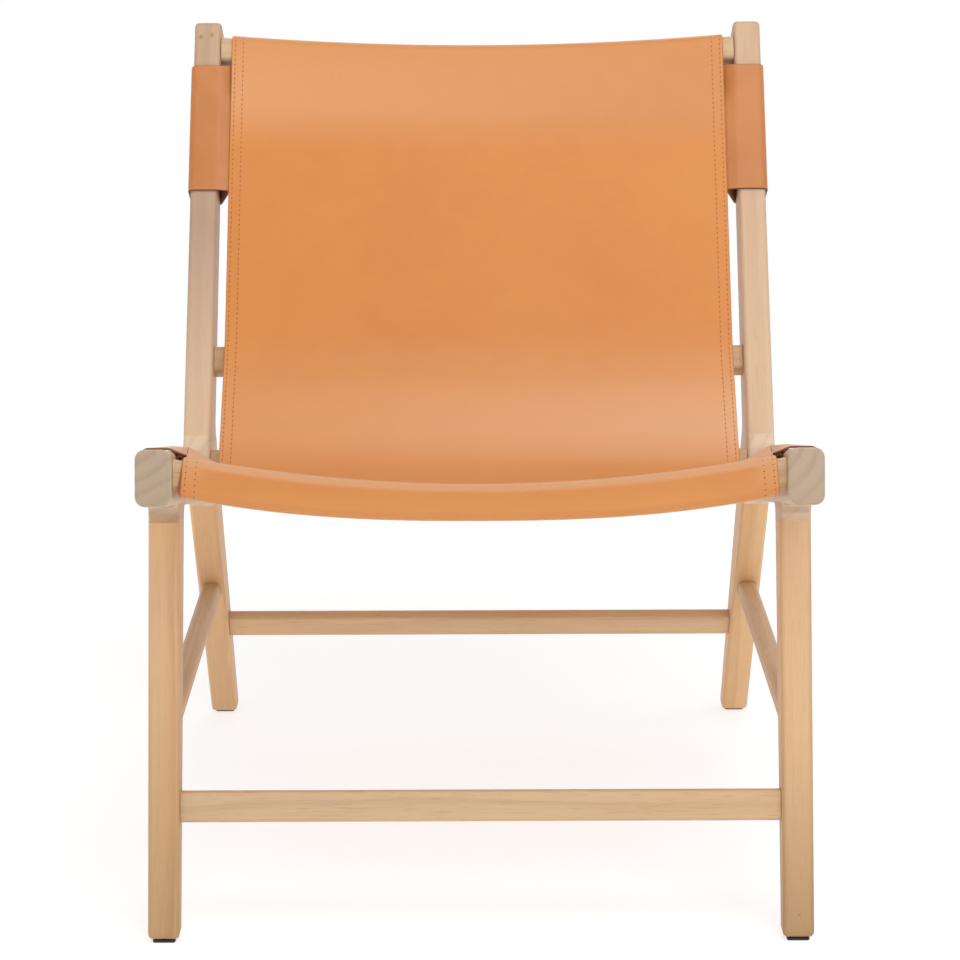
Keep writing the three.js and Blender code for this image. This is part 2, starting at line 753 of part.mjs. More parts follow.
// A flat band of the given thickness following a centre line, as a closed outline
function ribbon(points, thickness) {
  const sides = [1, -1].map((sign) => points.map((p, k) => {
    const before = points[Math.max(k - 1, 0)];
    const after = points[Math.min(k + 1, points.length - 1)];
    const direction = toUnit(minus(after, before));
    return add(p, [-direction[1], direction[0]], (sign * thickness) / 2);
  }));
  return [...sides[0], ...sides[1].reverse()];
}

function slingPanel() {
  const rings = [];
  for (let k = 0; k <= slingStations; k += 1) {
    const share = (2 * k) / slingStations - 1;
    const { points, frontAt, lowest } = slingPath(share * slingFrontHalfWidth);
    const backRise = onPost(postLength, 0)[1] - lowest[1];
    const lean = (2 * frontBarDip * share * slingFrontHalfWidth) / frontBar.halfSpan ** 2;
    const outline = ribbon(points, leatherThickness);
    rings.push(outline.map((p, j) => {
      const climb = THREE.MathUtils.clamp((p[1] - lowest[1]) / backRise, 0, 1);
      const narrowing = p[0] > lowest[0] ? climb : 0;
      const halfWidth = slingFrontHalfWidth + (slingTopHalfWidth - slingFrontHalfWidth) * narrowing;
      const rise = dot(minus(p, frontAt), railUp);
      const nearBar = p[0] < frontAt[0] + frontBarDepth;
      return [share * halfWidth - (nearBar ? lean * rise * slingEndLeanShare : 0), ...p];
    }));
  }
  return loft(rings);
}

// Height of the seat leather above the rail's underside line, at one distance along the rail
function seatLift(distance, x) {
  const local = slingPath(x).panel.map((p) => {
    const from = minus(p, knuckleFoot);
    return [dot(from, railBack), dot(from, railUp)];
  });
  const k = local.findIndex(([s]) => s > distance);
  const [a, b] = [local[k - 1], local[k]];
  return a[1] + ((b[1] - a[1]) * (distance - a[0])) / (b[0] - a[0]);
}

// Back strap: a loop round the post whose two ends lie together behind the panel
function backStrap() {
  const off = leatherGap + strapThickness / 2;
  const behind = panelInset + layerStep + leatherThickness / 2 + off;
  const tailEnd = slingTopHalfWidth - backStrapTail;
  const turnIn = slingTopHalfWidth;
  const section = (rise) => {
    const depth = postDepthAt(rise);
    const [outer, inner] = [outerHalfWidth + off, memberInner];
    const corners = [
      { at: [tailEnd, behind] },
      { at: [turnIn, behind], r: strapBend },
      { at: [inner, -off], r: memberEdgeRadius },
      { at: [outer, -off], r: memberEdgeRadius + off },
      { at: [outer, depth + off], r: memberEdgeRadius + off },
      { at: [inner, depth + off], r: memberEdgeRadius },
      { at: [turnIn, behind + strapThickness + leatherGap], r: strapBend },
      { at: [tailEnd, behind + strapThickness + leatherGap] },
    ];
    return ribbon(roundCorners(corners, false, leatherSteps), strapThickness);
  };
  const ends = [postLength - backStrapTop - backStrapLength, postLength - backStrapTop];
  return loft(ends.map((rise) => section(rise).map(([x, inset]) => [x, ...onPost(rise, inset)])));
}

// Seat strap: from under the panel, over the rail and down its outer side, held there by two tacks
const strapFace = outerHalfWidth + leatherGap + strapThickness + fitGap;
const seatStrapStart = frontLegStart - frontFlare - seatStrapGap - seatStrapLength;
const tackSpots = [tackInset, seatStrapLength - tackInset].map((reach) => seatStrapStart + reach);

function tack(distance, grow) {
  const at = onRail(distance, railFloor(distance) + railDepthAt(distance) - tackDrop);
  const stages = [
    [strapFace + tackHeadHeight + grow, tackHeadRadius / 2 + grow],
    [strapFace, tackHeadRadius + grow],
    [strapFace, tackShankRadius + grow],
    [strapFace - tackLength - grow, tackShankRadius + grow],
  ];
  return loft(stages.map(([x, radius]) => ringAcross(x, at, railBack, railUp, circle(radius))));
}

function seatStrap() {
  const off = leatherGap + strapThickness / 2;
  const tailEnd = slingFrontHalfWidth - seatStrapTail;
  const below = layerStep + leatherThickness / 2 + off + seatStrapSlack;
  const bend = railCornerRadius + off;
  const rings = [];
  for (let k = 0; k <= 2; k += 1) {
    const distance = seatStrapStart + (seatStrapLength * k) / 2;
    const floor = railFloor(distance);
    const roof = floor + railDepthAt(distance);
    const rise = (seatStrapRise * k) / 2;
    const outer = outerHalfWidth + off;
    const inner = outerHalfWidth - railWidthAt(distance) + railCornerRadius;
    const last = [slingFrontHalfWidth + strapBend / 2, seatLift(distance, slingFrontHalfWidth) - below];
    const [dx, dy] = [inner - last[0], roof + rise - railCornerRadius - last[1]];
    const climb = Math.atan2(dy, dx) + Math.asin(bend / Math.hypot(dx, dy));
    const tail = [0, 1].map((n) => tailEnd + ((last[0] - tailEnd) * n) / 2);
    const corners = [
      ...tail.map((x) => ({ at: [x, seatLift(distance, x) - below] })),
      { at: last, r: 2 * strapBend },
      { at: [inner - bend * Math.tan(climb / 2), roof + rise + off], r: bend },
      { at: [outer, roof + off], r: railCornerRadius },
      { at: [outer, roof - seatStrapDrop] },
    ];
    const outline = ribbon(roundCorners(corners, false, leatherSteps), strapThickness);
    rings.push(outline.map(([x, lift]) => [x, ...onRail(distance, lift)]));
  }
  return cutFrom(loft(rings), tackSpots.map((distance) => tack(distance, fitGap)));
}

// Assembly
const chair = new THREE.Group();
chair.name = 'sling_lounge_chair';
const placed = [];

function addPiece(name, solid, look) {
  const geometry = toGeometry(solid);
  const mesh = new THREE.Mesh(geometry, new THREE.MeshStandardMaterial(look));
  mesh.name = name;
  chair.add(mesh);
  placed.push(geometry);
}

function mirrored(solid) {
  const geometry = toGeometry(solid);
  geometry.scale(-1, 1, 1);
  geometry.index.array.reverse();
  return toSolid(geometry);
}

function addPair(name, solid, look) {
  addPiece(`${name}_right`, solid, look);
  addPiece(`${name}_left`, mirrored(solid), look);
}

addPair('seat_rail', seatRail(tackSpots.map((distance) => tack(distance, fitGap))), paleWood);
addPair('front_leg', frontLeg(), legWood);
addPair('rear_leg', rearLeg(), legWood);
addPair('back_post', backPost(), paleWood);
addPair('side_stretcher', sideStretcher(0, 0), paleWood);
Object.entries(crossBars).forEach(([name, bar]) => addPiece(name, crossBar(bar), paleWood));
Object.entries(joints).forEach(([name, joint]) => {
  dowelsOf(joint, 0).forEach((solid, k) => addPair(`${name}_dowel_${k + 1}`, solid, dowelWood));
});
addPiece('sling_panel', slingPanel(), tanLeather);
addPair('back_strap', backStrap(), strapLeather);
addPair('seat_strap', seatStrap(), strapLeather);
tackSpots.forEach((distance, k) => addPair(`strap_tack_${k + 1}`, tack(distance, 0), steel));
addPair('front_glide', glide([frontFootCentre, 0]), blackRubber);
addPair('rear_glide', glide([rearFootCentre, 0]), blackRubber);
addPair('front_nail', nail([frontFootCentre, 0], 0), steel);
addPair('rear_nail', nail([rearFootCentre, 0], 0), steel);

// The origin goes under the middle of the chair, on the floor
const bounds = new THREE.Box3();
placed.forEach((geometry) => {
  geometry.computeBoundingBox();
  bounds.union(geometry.boundingBox);
});
const middle = bounds.getCenter(new THREE.Vector3());
placed.forEach((geometry) => geometry.translate(-middle.x, -middle.y, -bounds.min.z));

export default chair;
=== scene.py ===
import math
import random

import bmesh
import bpy
from mathutils import Matrix, Vector


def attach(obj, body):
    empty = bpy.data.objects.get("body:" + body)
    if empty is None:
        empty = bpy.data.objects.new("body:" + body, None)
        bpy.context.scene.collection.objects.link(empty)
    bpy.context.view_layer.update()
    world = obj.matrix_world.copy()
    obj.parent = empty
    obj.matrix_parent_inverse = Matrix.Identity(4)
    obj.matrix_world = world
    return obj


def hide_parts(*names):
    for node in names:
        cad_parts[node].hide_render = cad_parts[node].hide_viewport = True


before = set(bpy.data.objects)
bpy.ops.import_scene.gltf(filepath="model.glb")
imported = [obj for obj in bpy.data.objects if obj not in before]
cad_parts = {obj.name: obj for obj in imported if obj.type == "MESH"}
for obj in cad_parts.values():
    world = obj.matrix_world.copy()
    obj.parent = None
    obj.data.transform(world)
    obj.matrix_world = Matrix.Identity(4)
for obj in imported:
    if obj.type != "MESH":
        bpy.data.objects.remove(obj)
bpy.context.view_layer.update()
print("frame loaded:", len(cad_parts), "nodes")

# Sling lounge chair. Metres, +Z up, the sitter faces -Y. The side view is drawn as (depth, height):
# depth runs back from the foot of the front leg, which lies originDepth in front of the row frame's middle.

originDepth = .35335

chair = {
    "outerHalfWidth": .310, "memberThickness": .0293, "frontLegStart": .1018, "knuckleHeight": .4166,
    "seatDepth": .401, "postLength": .5002,
    "seatSlope": 14.8, "frontLegRake": 16.8, "backRecline": 31, "rearLegRake": 30.8,
    "knuckleWidth": .033, "knuckleDepth": .0519, "elbowRailDepth": .047, "railRise": .0023,
    "postFootDepth": .050, "postTopDepth": .033,
}


def side(depth, height):
    return Vector((depth, height))


def heading(degrees):
    return side(math.cos(math.radians(degrees)), math.sin(math.radians(degrees)))


def squareTo(direction):
    return side(-direction.y, direction.x)


def unit(value):
    return max(0, min(1, value))


def ease(value):
    share = unit(value)
    return share * share * (3 - 2 * share)


def placeAt(origin, axis, distance, across, offset):
    return origin + axis * distance + across * offset


def meetLines(p, d, q, e):
    return p + d * ((q - p).cross(e) / d.cross(e))


def inRow(x, point):
    return Vector((x, point.x - originDepth, point.y))


def inSide(point):
    return side(point.y + originDepth, point.z)


def alongSide(direction):
    return Vector((0, direction.x, direction.y))


railBack = heading(-chair["seatSlope"])
railUp = squareTo(railBack)
postBack = heading(-chair["backRecline"])
postUp = squareTo(postBack)
frontLegUp = squareTo(heading(-chair["frontLegRake"]))
rearLegUp = squareTo(heading(chair["rearLegRake"]))

legCornerHeight = chair["knuckleHeight"] + railBack.y * chair["frontLegStart"]
legCornerDepth = legCornerHeight * frontLegUp.x / frontLegUp.y
knuckleFoot = side(legCornerDepth - railBack.x * chair["frontLegStart"], chair["knuckleHeight"])
memberInner = chair["outerHalfWidth"] - chair["memberThickness"]


def railShare(distance):
    return min(distance / chair["seatDepth"], 1)


def railFloor(distance):
    return chair["railRise"] * railShare(distance)


def railDepthAt(distance):
    return chair["knuckleDepth"] + (chair["elbowRailDepth"] - chair["knuckleDepth"]) * railShare(distance)


def railWidthAt(distance):
    return chair["knuckleWidth"] + (chair["memberThickness"] - chair["knuckleWidth"]) * railShare(distance)


def onRail(distance, lift):
    return placeAt(knuckleFoot, railBack, distance, railUp, lift)


elbow = onRail(chair["seatDepth"], railFloor(chair["seatDepth"]) + chair["elbowRailDepth"])


def postDepthAt(rise):
    return chair["postFootDepth"] + (chair["postTopDepth"] - chair["postFootDepth"]) * rise / chair["postLength"]


def onPost(rise, inset):
    return placeAt(elbow, postUp, rise, postBack, inset)


# Corners are (point, radius); each one with a radius becomes an arc
def roundCorners(corners, steps):
    points = []
    for i, (at, radius) in enumerate(corners):
        if not radius or i in (0, len(corners) - 1):
            points.append(at)
            continue
        before = (corners[i - 1][0] - at).normalized()
        after = (corners[i + 1][0] - at).normalized()
        half = math.acos(max(-1, min(1, before.dot(after)))) / 2
        centre = at + (before + after).normalized() * (radius / math.sin(half))
        radial = at + before * (radius / math.tan(half)) - centre
        sweep = -math.copysign(math.pi - 2 * half, before.cross(after))
        for k in range(steps + 1):
            turn = sweep * k / steps
            points.append(centre + side(
                radial.x * math.cos(turn) - radial.y * math.sin(turn),
                radial.x * math.sin(turn) + radial.y * math.cos(turn)))
    return points


def splineAt(controls, share):
    place = (len(controls) - 1) * share
    k = min(int(place), len(controls) - 2)
    t = place - k
    a, b, c, d = (controls[max(0, min(len(controls) - 1, k + n))] for n in (-1, 0, 1, 2))
    return ((b * 2) + (c - a) * t + (a * 2 - b * 5 + c * 4 - d) * t ** 2
            + (b * 3 - a - c * 3 + d) * t ** 3) / 2


def normalsOf(points):
    normals = []
    for k in range(len(points)):
        along = points[min(k + 1, len(points) - 1)] - points[max(k - 1, 0)]
        normals.append(squareTo(along.normalized()))
    return normals


# Shader graph helpers
class Wire:
    def __init__(self, graph, socket):
        self.graph, self.socket = graph, socket

    def math(self, operation, other=None, flipped=False):
        values = [self] if other is None else [other, self] if flipped else [self, other]
        return self.graph.add("ShaderNodeMath", {"operation": operation}, dict(enumerate(values)))

    def __add__(self, other):
        return self.math("ADD", other)

    def __sub__(self, other):
        return self.math("SUBTRACT", other)

    def __rsub__(self, other):
        return self.math("SUBTRACT", other, True)

    def __mul__(self, other):
        return self.math("MULTIPLY", other)

    def __pow__(self, other):
        return self.math("POWER", other)

    __radd__ = __add__
    __rmul__ = __mul__


class Graph:
    def __init__(self, name, owner=None):
        self.owner = owner or bpy.data.materials.new(name)
        self.owner.use_nodes = True
        self.tree = self.owner.node_tree
        self.tree.nodes.clear()

    def add(self, kind, settings=None, inputs=None, out=0):
        node = self.tree.nodes.new(kind)
        for key, value in (settings or {}).items():
            if key == "stops":
                while len(node.color_ramp.elements) < len(value):
                    node.color_ramp.elements.new(1)
                for stop, (place, colour) in zip(node.color_ramp.elements, value):
                    stop.position, stop.color = place, colour
            else:
                setattr(node, key, value)
        for key, value in (inputs or {}).items():
            if isinstance(value, Wire):
                self.tree.links.new(value.socket, node.inputs[key])
            else:
                node.inputs[key].default_value = value
        return Wire(self, node.outputs[out] if len(node.outputs) else None)

    def noise(self, vector, scale, detail=2, roughness=.5):
        return self.add("ShaderNodeTexNoise", {"noise_dimensions": "3D"}, {
            "Vector": vector, "Scale": scale, "Detail": detail, "Roughness": roughness})

    def stretch(self, vector, amounts):
        return self.add("ShaderNodeVectorMath", {"operation": "MULTIPLY"}, {0: vector, 1: amounts})

    def range(self, value, low, high, toLow=0, toHigh=1):
        return self.add("ShaderNodeMapRange", {"clamp": True, "interpolation_type": "SMOOTHSTEP"}, {
            0: value, 1: low, 2: high, 3: toLow, 4: toHigh})

    def blend(self, factor, a, b, mode="MIX"):
        return self.add("ShaderNodeMix", {"data_type": "RGBA", "blend_type": mode}, {0: factor, 6: a, 7: b}, 2)

    def bump(self, height, strength, distance):
        return self.add("ShaderNodeBump", {}, {"Height": height, "Strength": strength, "Distance": distance})

    def surface(self, values):
        shader = self.add("ShaderNodeBsdfPrincipled", {}, values)
        self.add("ShaderNodeOutputMaterial", {}, {"Surface": shader})
        return self.owner


def tone(red, green, blue):
    linear = [(c / 255) / 12.92 if c <= 10 else ((c / 255 + .055) / 1.055) ** 2.4 for c in (red, green, blue)]
    return (*linear, 1)


# Pale streaky wood. "grain" holds each piece's own places: x and y across the log, z along it.
# Each noise has its stretch over the log, its detail and its roughness
woodNoises = {
    "drift": ((9, 9, 2.2), 2, .5), "waver": ((60, 60, 9), 2, .5), "streaks": ((420, 420, 5), 3, .6),
    "fibres": ((1500, 1500, 22), 2, .6), "pores": ((1100, 1100, 38), 1, .5), "cloud": ((26, 26, 2.6), 2, .5),
}
woodTones = {
    "ringStart": .3, "ringWaver": .5, "base": .34, "middleAt": .42, "darkAt": .8, "poreReach": (.60, .74),
    "cloudReach": (.35, .7), "knotDepth": .6, "knotCore": .2,
}
woodRelief = {"fibres": .5, "pores": .8, "rings": .3, "strength": .35, "height": .0004}


def woodFinish(name, look):
    g = Graph(name)
    grain = g.add("ShaderNodeAttribute", {"attribute_name": "grain"}, out="Vector")
    drift, waver, streaks, fibres, specks, cloud = (
        g.noise(g.stretch(grain, stretch), 1, detail, rough) for stretch, detail, rough in woodNoises.values())
    across, depth = (g.add("ShaderNodeSeparateXYZ", {}, {0: grain}, axis) for axis in "XY")
    bentX = across + (drift - .5) * look["drift"]
    bentY = depth + (waver - .5) * look["waver"]
    radius = (bentX * bentX + bentY * bentY) ** .5
    saw = (radius * look["ringsPerMetre"] + (waver - .5) * woodTones["ringWaver"]).math("FRACT")
    late = g.range(saw, woodTones["ringStart"], look["ringEdge"]) * (1 - g.range(saw, look["ringEdge"], 1))
    pores = g.range(specks, *woodTones["poreReach"])
    dark = late * look["ringDepth"] + (streaks - .5) * look["streakDepth"] + (fibres - .5) * look["fibre"]
    colour = g.add("ShaderNodeValToRGB", {"stops": [
        (0, look["pale"]), (woodTones["middleAt"], look["middle"]), (woodTones["darkAt"], look["dark"]),
        (1, look["deep"])]}, {0: dark + woodTones["base"]})
    colour = g.blend(g.range(cloud, *woodTones["cloudReach"], 0, look["cloud"]), colour, look["warm"])
    colour = g.blend(pores * look["pores"], colour, look["deep"])
    place = g.add("ShaderNodeTexCoord", out="Object")
    for centre, size in look.get("knots", []):
        away = g.add("ShaderNodeVectorMath", {"operation": "DISTANCE"}, {0: place, 1: centre}, "Value")
        rim = g.range(away + (streaks - .5) * size, size * woodTones["knotCore"], size, 0, woodTones["knotDepth"])
        colour = g.blend(woodTones["knotDepth"] - rim, colour, look["deep"])
    # Painted light and shade: the wood's colour is multiplied by each board's painted light factors
    tint = g.add("ShaderNodeAttribute", {"attribute_name": "tint"}, out="Color")
    colour = g.blend(1.0, colour, tint, "MULTIPLY")
    relief = (fibres - .5) * woodRelief["fibres"] - pores * woodRelief["pores"] - late * woodRelief["rings"]
    return g.surface({
        "Base Color": colour, "Roughness": look["roughness"] + (streaks - .5) * .14 + pores * .1,
        "Normal": g.bump(relief, woodRelief["strength"], woodRelief["height"]), "Specular IOR Level": .42})


woodLooks = {
    "railWood": {
        "pale": tone(220, 193, 166), "middle": tone(205, 178, 150), "dark": tone(184, 154, 125),
        "deep": tone(144, 112, 84), "warm": tone(205, 174, 141), "drift": .030, "waver": .0014,
        "ringsPerMetre": 74, "ringEdge": .80, "ringDepth": .22, "streakDepth": .20, "fibre": .12, "cloud": .5,
        "pores": .08, "roughness": .5},
    "postWood": {
        "pale": tone(216, 187, 160), "middle": tone(201, 171, 143), "dark": tone(182, 151, 123),
        "deep": tone(142, 110, 84), "warm": tone(203, 167, 134), "drift": .034, "waver": .0018,
        "ringsPerMetre": 66, "ringEdge": .85, "ringDepth": .2, "streakDepth": .18, "fibre": .15, "cloud": .5,
        "pores": .12, "roughness": .48,
        "knots": [((-.3028, .3143, .7743), .0040), ((-.2908, .3155, .7763), .0032)]},
    "legWood": {
        "pale": tone(217, 181, 141), "middle": tone(203, 165, 124), "dark": tone(183, 142, 101),
        "deep": tone(145, 103, 66), "warm": tone(203, 159, 112), "drift": .040, "waver": .0022,
        "ringsPerMetre": 82, "ringEdge": .86, "ringDepth": .3, "streakDepth": .28, "fibre": .2, "cloud": .55,
        "pores": .16, "roughness": .48, "knots": [((.2960, -.3458, .0251), .0014)]},
    "barWood": {
        "pale": tone(216, 184, 148), "middle": tone(200, 167, 130), "dark": tone(178, 143, 108),
        "deep": tone(142, 106, 74), "warm": tone(200, 162, 120), "drift": .026, "waver": .002,
        "ringsPerMetre": 86, "ringEdge": .9, "ringDepth": .18, "streakDepth": .32, "fibre": .3, "cloud": .5,
        "pores": .3, "roughness": .5},
    "dowelWood": {
        "pale": tone(220, 184, 142), "middle": tone(206, 167, 124), "dark": tone(182, 141, 100),
        "deep": tone(150, 108, 72), "warm": tone(210, 167, 120), "drift": .02, "waver": .002,
        "ringsPerMetre": 220, "ringEdge": .95, "ringDepth": .3, "streakDepth": .4, "fibre": .3, "cloud": .4,
        "pores": .4, "roughness": .66},
}
woods = {name: woodFinish(name, look) for name, look in woodLooks.items()}


# Smooth tan leather, with a fine grain and a slow change of tone, and its painted highlight and painted shade
leatherGrain = {"mottle": 38, "pebbles": 1050, "fine": 900, "creaseWidth": .16, "creaseTone": .1, "mottleTone": .22,
                "height": .0003}


def leatherFinish(name, look):
    g = Graph(name)
    place = g.add("ShaderNodeTexCoord", out="Object")
    patches = g.noise(place, look["patchScale"], 3, .55)
    mottle = g.noise(place, leatherGrain["mottle"], 3, .6)
    pebbles = g.add("ShaderNodeTexVoronoi", {"feature": "DISTANCE_TO_EDGE"}, {
        "Vector": place, "Scale": leatherGrain["pebbles"]})
    crease = g.range(pebbles, 0, leatherGrain["creaseWidth"])
    fine = g.noise(place, leatherGrain["fine"], 2)
    colour = g.blend(g.range(patches, .32, .68), look["colour"], look["warm"])
    colour = g.blend(g.range(mottle, .35, .75, 0, leatherGrain["mottleTone"]), colour, look["pale"])
    # Painted highlight towards the pale highlight colour, then painted shade towards black, as the mesh's
    # attributes say
    pull = g.add("ShaderNodeAttribute", {"attribute_name": "pull"}, out="Fac")
    colour = g.blend(pull * (.85 + patches * .3), colour, look.get("pulled", look["pale"]))
    shade = g.add("ShaderNodeAttribute", {"attribute_name": "shade"}, out="Fac")
    colour = g.blend(shade, colour, (0, 0, 0, 1))
    colour = g.blend((1 - crease) * leatherGrain["creaseTone"], colour, look["deep"])
    relief = crease * .5 + fine * .4 + mottle * .5
    return g.surface({
        "Base Color": colour, "Roughness": look["roughness"] + (mottle - .5) * .12 + (1 - crease) * .05,
        "Normal": g.bump(relief, look["relief"], leatherGrain["height"]), "Specular IOR Level": look["gloss"],
        "Coat Weight": look["coat"], "Coat Roughness": .34,
        "Sheen Weight": look["sheen"], "Sheen Roughness": .35, "Sheen Tint": (1, .9, .84, 1)})


leatherLooks = {
    "slingLeather": {
        "colour": tone(207, 129, 47), "warm": tone(203, 123, 40), "pale": tone(213, 139, 60),
        "pulled": tone(221, 161, 112), "deep": tone(158, 88, 36), "patchScale": 5.5, "roughness": .5,
        "relief": .3, "gloss": .5, "coat": .12, "sheen": .4},
    "strapLeather": {
        "colour": tone(193, 120, 55), "warm": tone(186, 112, 48), "pale": tone(201, 132, 69),
        "pulled": tone(224, 176, 142), "deep": tone(144, 80, 38), "patchScale": 14, "roughness": .48,
        "relief": .35, "gloss": .5, "coat": .15, "sheen": .4},
    "cutEdge": {
        "colour": tone(192, 110, 66), "warm": tone(178, 98, 56), "pale": tone(204, 124, 80),
        "deep": tone(130, 72, 40), "patchScale": 60, "roughness": .42, "relief": .6, "gloss": .5, "coat": 0,
        "sheen": .1},
    "strapEdge": {
        "colour": tone(122, 70, 46), "warm": tone(106, 58, 36), "pale": tone(138, 84, 58),
        "deep": tone(76, 40, 24), "patchScale": 60, "roughness": .5, "relief": .6, "gloss": .4, "coat": 0,
        "sheen": 0},
    # The seat strap's lower sheet: its dark colour is painted shade
    "strapInside": {
        "colour": tone(106, 56, 36), "warm": tone(92, 46, 28), "pale": tone(118, 68, 46),
        "deep": tone(66, 32, 18), "patchScale": 40, "roughness": .8, "relief": .7, "gloss": .25, "coat": 0,
        "sheen": 0},
}
leathers = {name: leatherFinish(name, look) for name, look in leatherLooks.items()}


# Small parts: two close tones over one stretched noise
def smallFinish(name, look):
    g = Graph(name)
    place = g.add("ShaderNodeTexCoord", out="Object")
    noise = g.noise(g.stretch(place, look["stretch"]), 1, look["detail"])
    colour = g.blend(g.range(noise, *look["reach"]), look["colour"], look["other"])
    values = {"Base Color": colour, "Roughness": look["roughness"], "Metallic": look.get("metallic", 0)}
    if "vary" in look:
        values["Roughness"] = look["roughness"] + (noise - .5) * look["vary"]
    if "bump" in look:
        values["Normal"] = g.bump(noise, *look["bump"])
    return g.surface(values)


smallLooks = {
    "waxedThread": {
        "stretch": (1400, 1400, 1400), "detail": 2, "reach": (.35, .65), "colour": tone(196, 122, 68),
        "other": tone(186, 112, 60), "roughness": .5, "vary": .2, "bump": (.4, .0002)},
    # Dark dots for the stitch holes: painted shade in place of real hollows
    "stitchHoleShade": {
        "stretch": (700, 700, 700), "detail": 2, "reach": (.4, .6), "colour": tone(136, 64, 18),
        "other": tone(112, 50, 12), "roughness": .7},
    "glideBlack": {
        "stretch": (300, 300, 900), "detail": 3, "reach": (.45, .75), "colour": tone(15, 15, 17),
        "other": tone(34, 33, 35), "roughness": .55, "vary": .3, "bump": (.2, .0003)},
    "plainSteel": {
        "stretch": (1800, 200, 200), "detail": 2, "reach": (.3, .7), "colour": tone(196, 198, 200),
        "other": tone(168, 170, 173), "roughness": .32, "vary": .2, "metallic": 1},
}
thread, hole, glideBlack, plainSteel = (smallFinish(name, look) for name, look in smallLooks.items())
print("materials made")


def newObject(name, data):
    made = bpy.data.objects.new(name, data)
    bpy.context.scene.collection.objects.link(made)
    return made


# Rigid pieces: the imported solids, welded, smoothed over their rounded edges and given their wood's grain
smoothing = {"weld": 2e-6, "flatAngle": .4, "sharpAngle": 39, "weight": 90}


def keepShape(shape, mesh):
    shape.to_mesh(mesh)
    shape.free()
    return mesh


def addObject(name, mesh, materials, slotName, *replaced):
    made = newObject(name, mesh)
    for material in materials:
        mesh.materials.append(material)
    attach(made, "root")
    if replaced:
        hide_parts(*replaced)
    return made


def weldedCopy(node):
    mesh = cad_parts[node].data.copy()
    mesh.materials.clear()
    shape = bmesh.new()
    shape.from_mesh(mesh)
    bmesh.ops.remove_doubles(shape, verts=shape.verts, dist=smoothing["weld"])
    bmesh.ops.dissolve_limit(shape, angle_limit=math.radians(smoothing["flatAngle"]), verts=shape.verts,
                             edges=shape.edges)
    for face in shape.faces:
        face.smooth = True
    keepShape(shape, mesh)
    for extra in [a.name for a in mesh.attributes if a.name in ("custom_normal", "UVMap")]:
        mesh.attributes.remove(mesh.attributes[extra])
    mesh.set_sharp_from_angle(angle=math.radians(smoothing["sharpAngle"]))
    return mesh


def reachAlong(mesh, along):
    places = [v.co.dot(along) for v in mesh.vertices]
    return min(places), max(places)


# A board gets points between its ends, so that the middle tones of its painted light and shade show
def cutAcross(mesh, along, parts):
    low, high = reachAlong(mesh, along)
    shape = bmesh.new()
    shape.from_mesh(mesh)
    for k in range(1, parts):
        everything = [*shape.verts, *shape.edges, *shape.faces]
        cut = along * (low + (high - low) * k / parts)
        bmesh.ops.bisect_plane(shape, geom=everything, plane_co=cut, plane_no=along)
    keepShape(shape, mesh)


grainSpread = {"turn": .35, "along": 3}  # how far boards differ in their turn and place in the log


def setGrain(mesh, along, heart, seed):
    rng = random.Random(seed)
    across = Vector((1, 0, 0)) if abs(along.x) < .5 else Vector((0, 1, 0))
    across = (across - along * across.dot(along)).normalized()
    third = along.cross(across)
    turn = rng.uniform(-grainSpread["turn"], grainSpread["turn"])
    shift = Vector((*heart, rng.uniform(-grainSpread["along"], grainSpread["along"])))
    middle = sum((v.co for v in mesh.vertices), Vector()) / len(mesh.vertices)
    values = []
    for vertex in mesh.vertices:
        local = vertex.co - middle
        a, b = local.dot(across), local.dot(third)
        values += [a * math.cos(turn) - b * math.sin(turn) + shift.x,
                   a * math.sin(turn) + b * math.cos(turn) + shift.y, local.dot(along) + shift.z]
    mesh.attributes.new("grain", "FLOAT_VECTOR", "POINT").data.foreach_set("vector", values)


# Painted light and shade from the foot to the top of a board, and on its end grain, which is also darker in itself.
# "below" is the rail's end under the knuckle
endGrain = {"facing": .45, "lowShare": .3, "belowRail": -.006}


def setBoardPaintedLight(mesh, along, tones, ends):
    low, high = reachAlong(mesh, along)
    values = []
    for face in mesh.polygons:
        turned = unit((abs(face.normal.dot(along)) - endGrain["facing"]) / endGrain["facing"])
        for corner in face.loop_indices:
            point = mesh.vertices[mesh.loops[corner].vertex_index].co
            share = (point.dot(along) - low) / (high - low)
            place = "low" if share < endGrain["lowShare"] else "high"
            if place == "low" and (inSide(point) - knuckleFoot).dot(railUp) < endGrain["belowRail"]:
                place = "below"
            end = ends.get(place, ends["low"])
            k = min(int(share * (len(tones) - 1)), len(tones) - 2)
            t = share * (len(tones) - 1) - k
            mixed = [a + (b - a) * t for a, b in zip(tones[k], tones[k + 1])]
            values += [m * (1 - turned * (1 - e)) for m, e in zip(mixed, end)] + [1]
    mesh.attributes.new("tint", "FLOAT_COLOR", "CORNER").data.foreach_set("color", values)


# The glued faces of a joint meet without a line between them
joint = {"skin": .0001, "widest": .0006, "reach": .05, "left": .00002}


def closeJoint(ending, other, outward):
    tip = reachAlong(ending, outward)[1]
    face = [v for v in ending.vertices if v.co.dot(outward) > tip - joint["skin"]]
    centre = sum((v.co for v in face), Vector()) / len(face)
    facing = [v for v in other.vertices
              if 0 < v.co.dot(outward) - tip < joint["widest"] and (v.co - centre).length < joint["reach"]]
    gap = min(v.co.dot(outward) for v in facing) - tip
    for v in face:
        v.co += outward * ((gap - joint["left"]) / 2)
    for v in facing:
        v.co -= outward * ((gap - joint["left"]) / 2)
    print("joint closed", round(gap * 1000, 3), "mm,", len(face), "and", len(facing), "points")


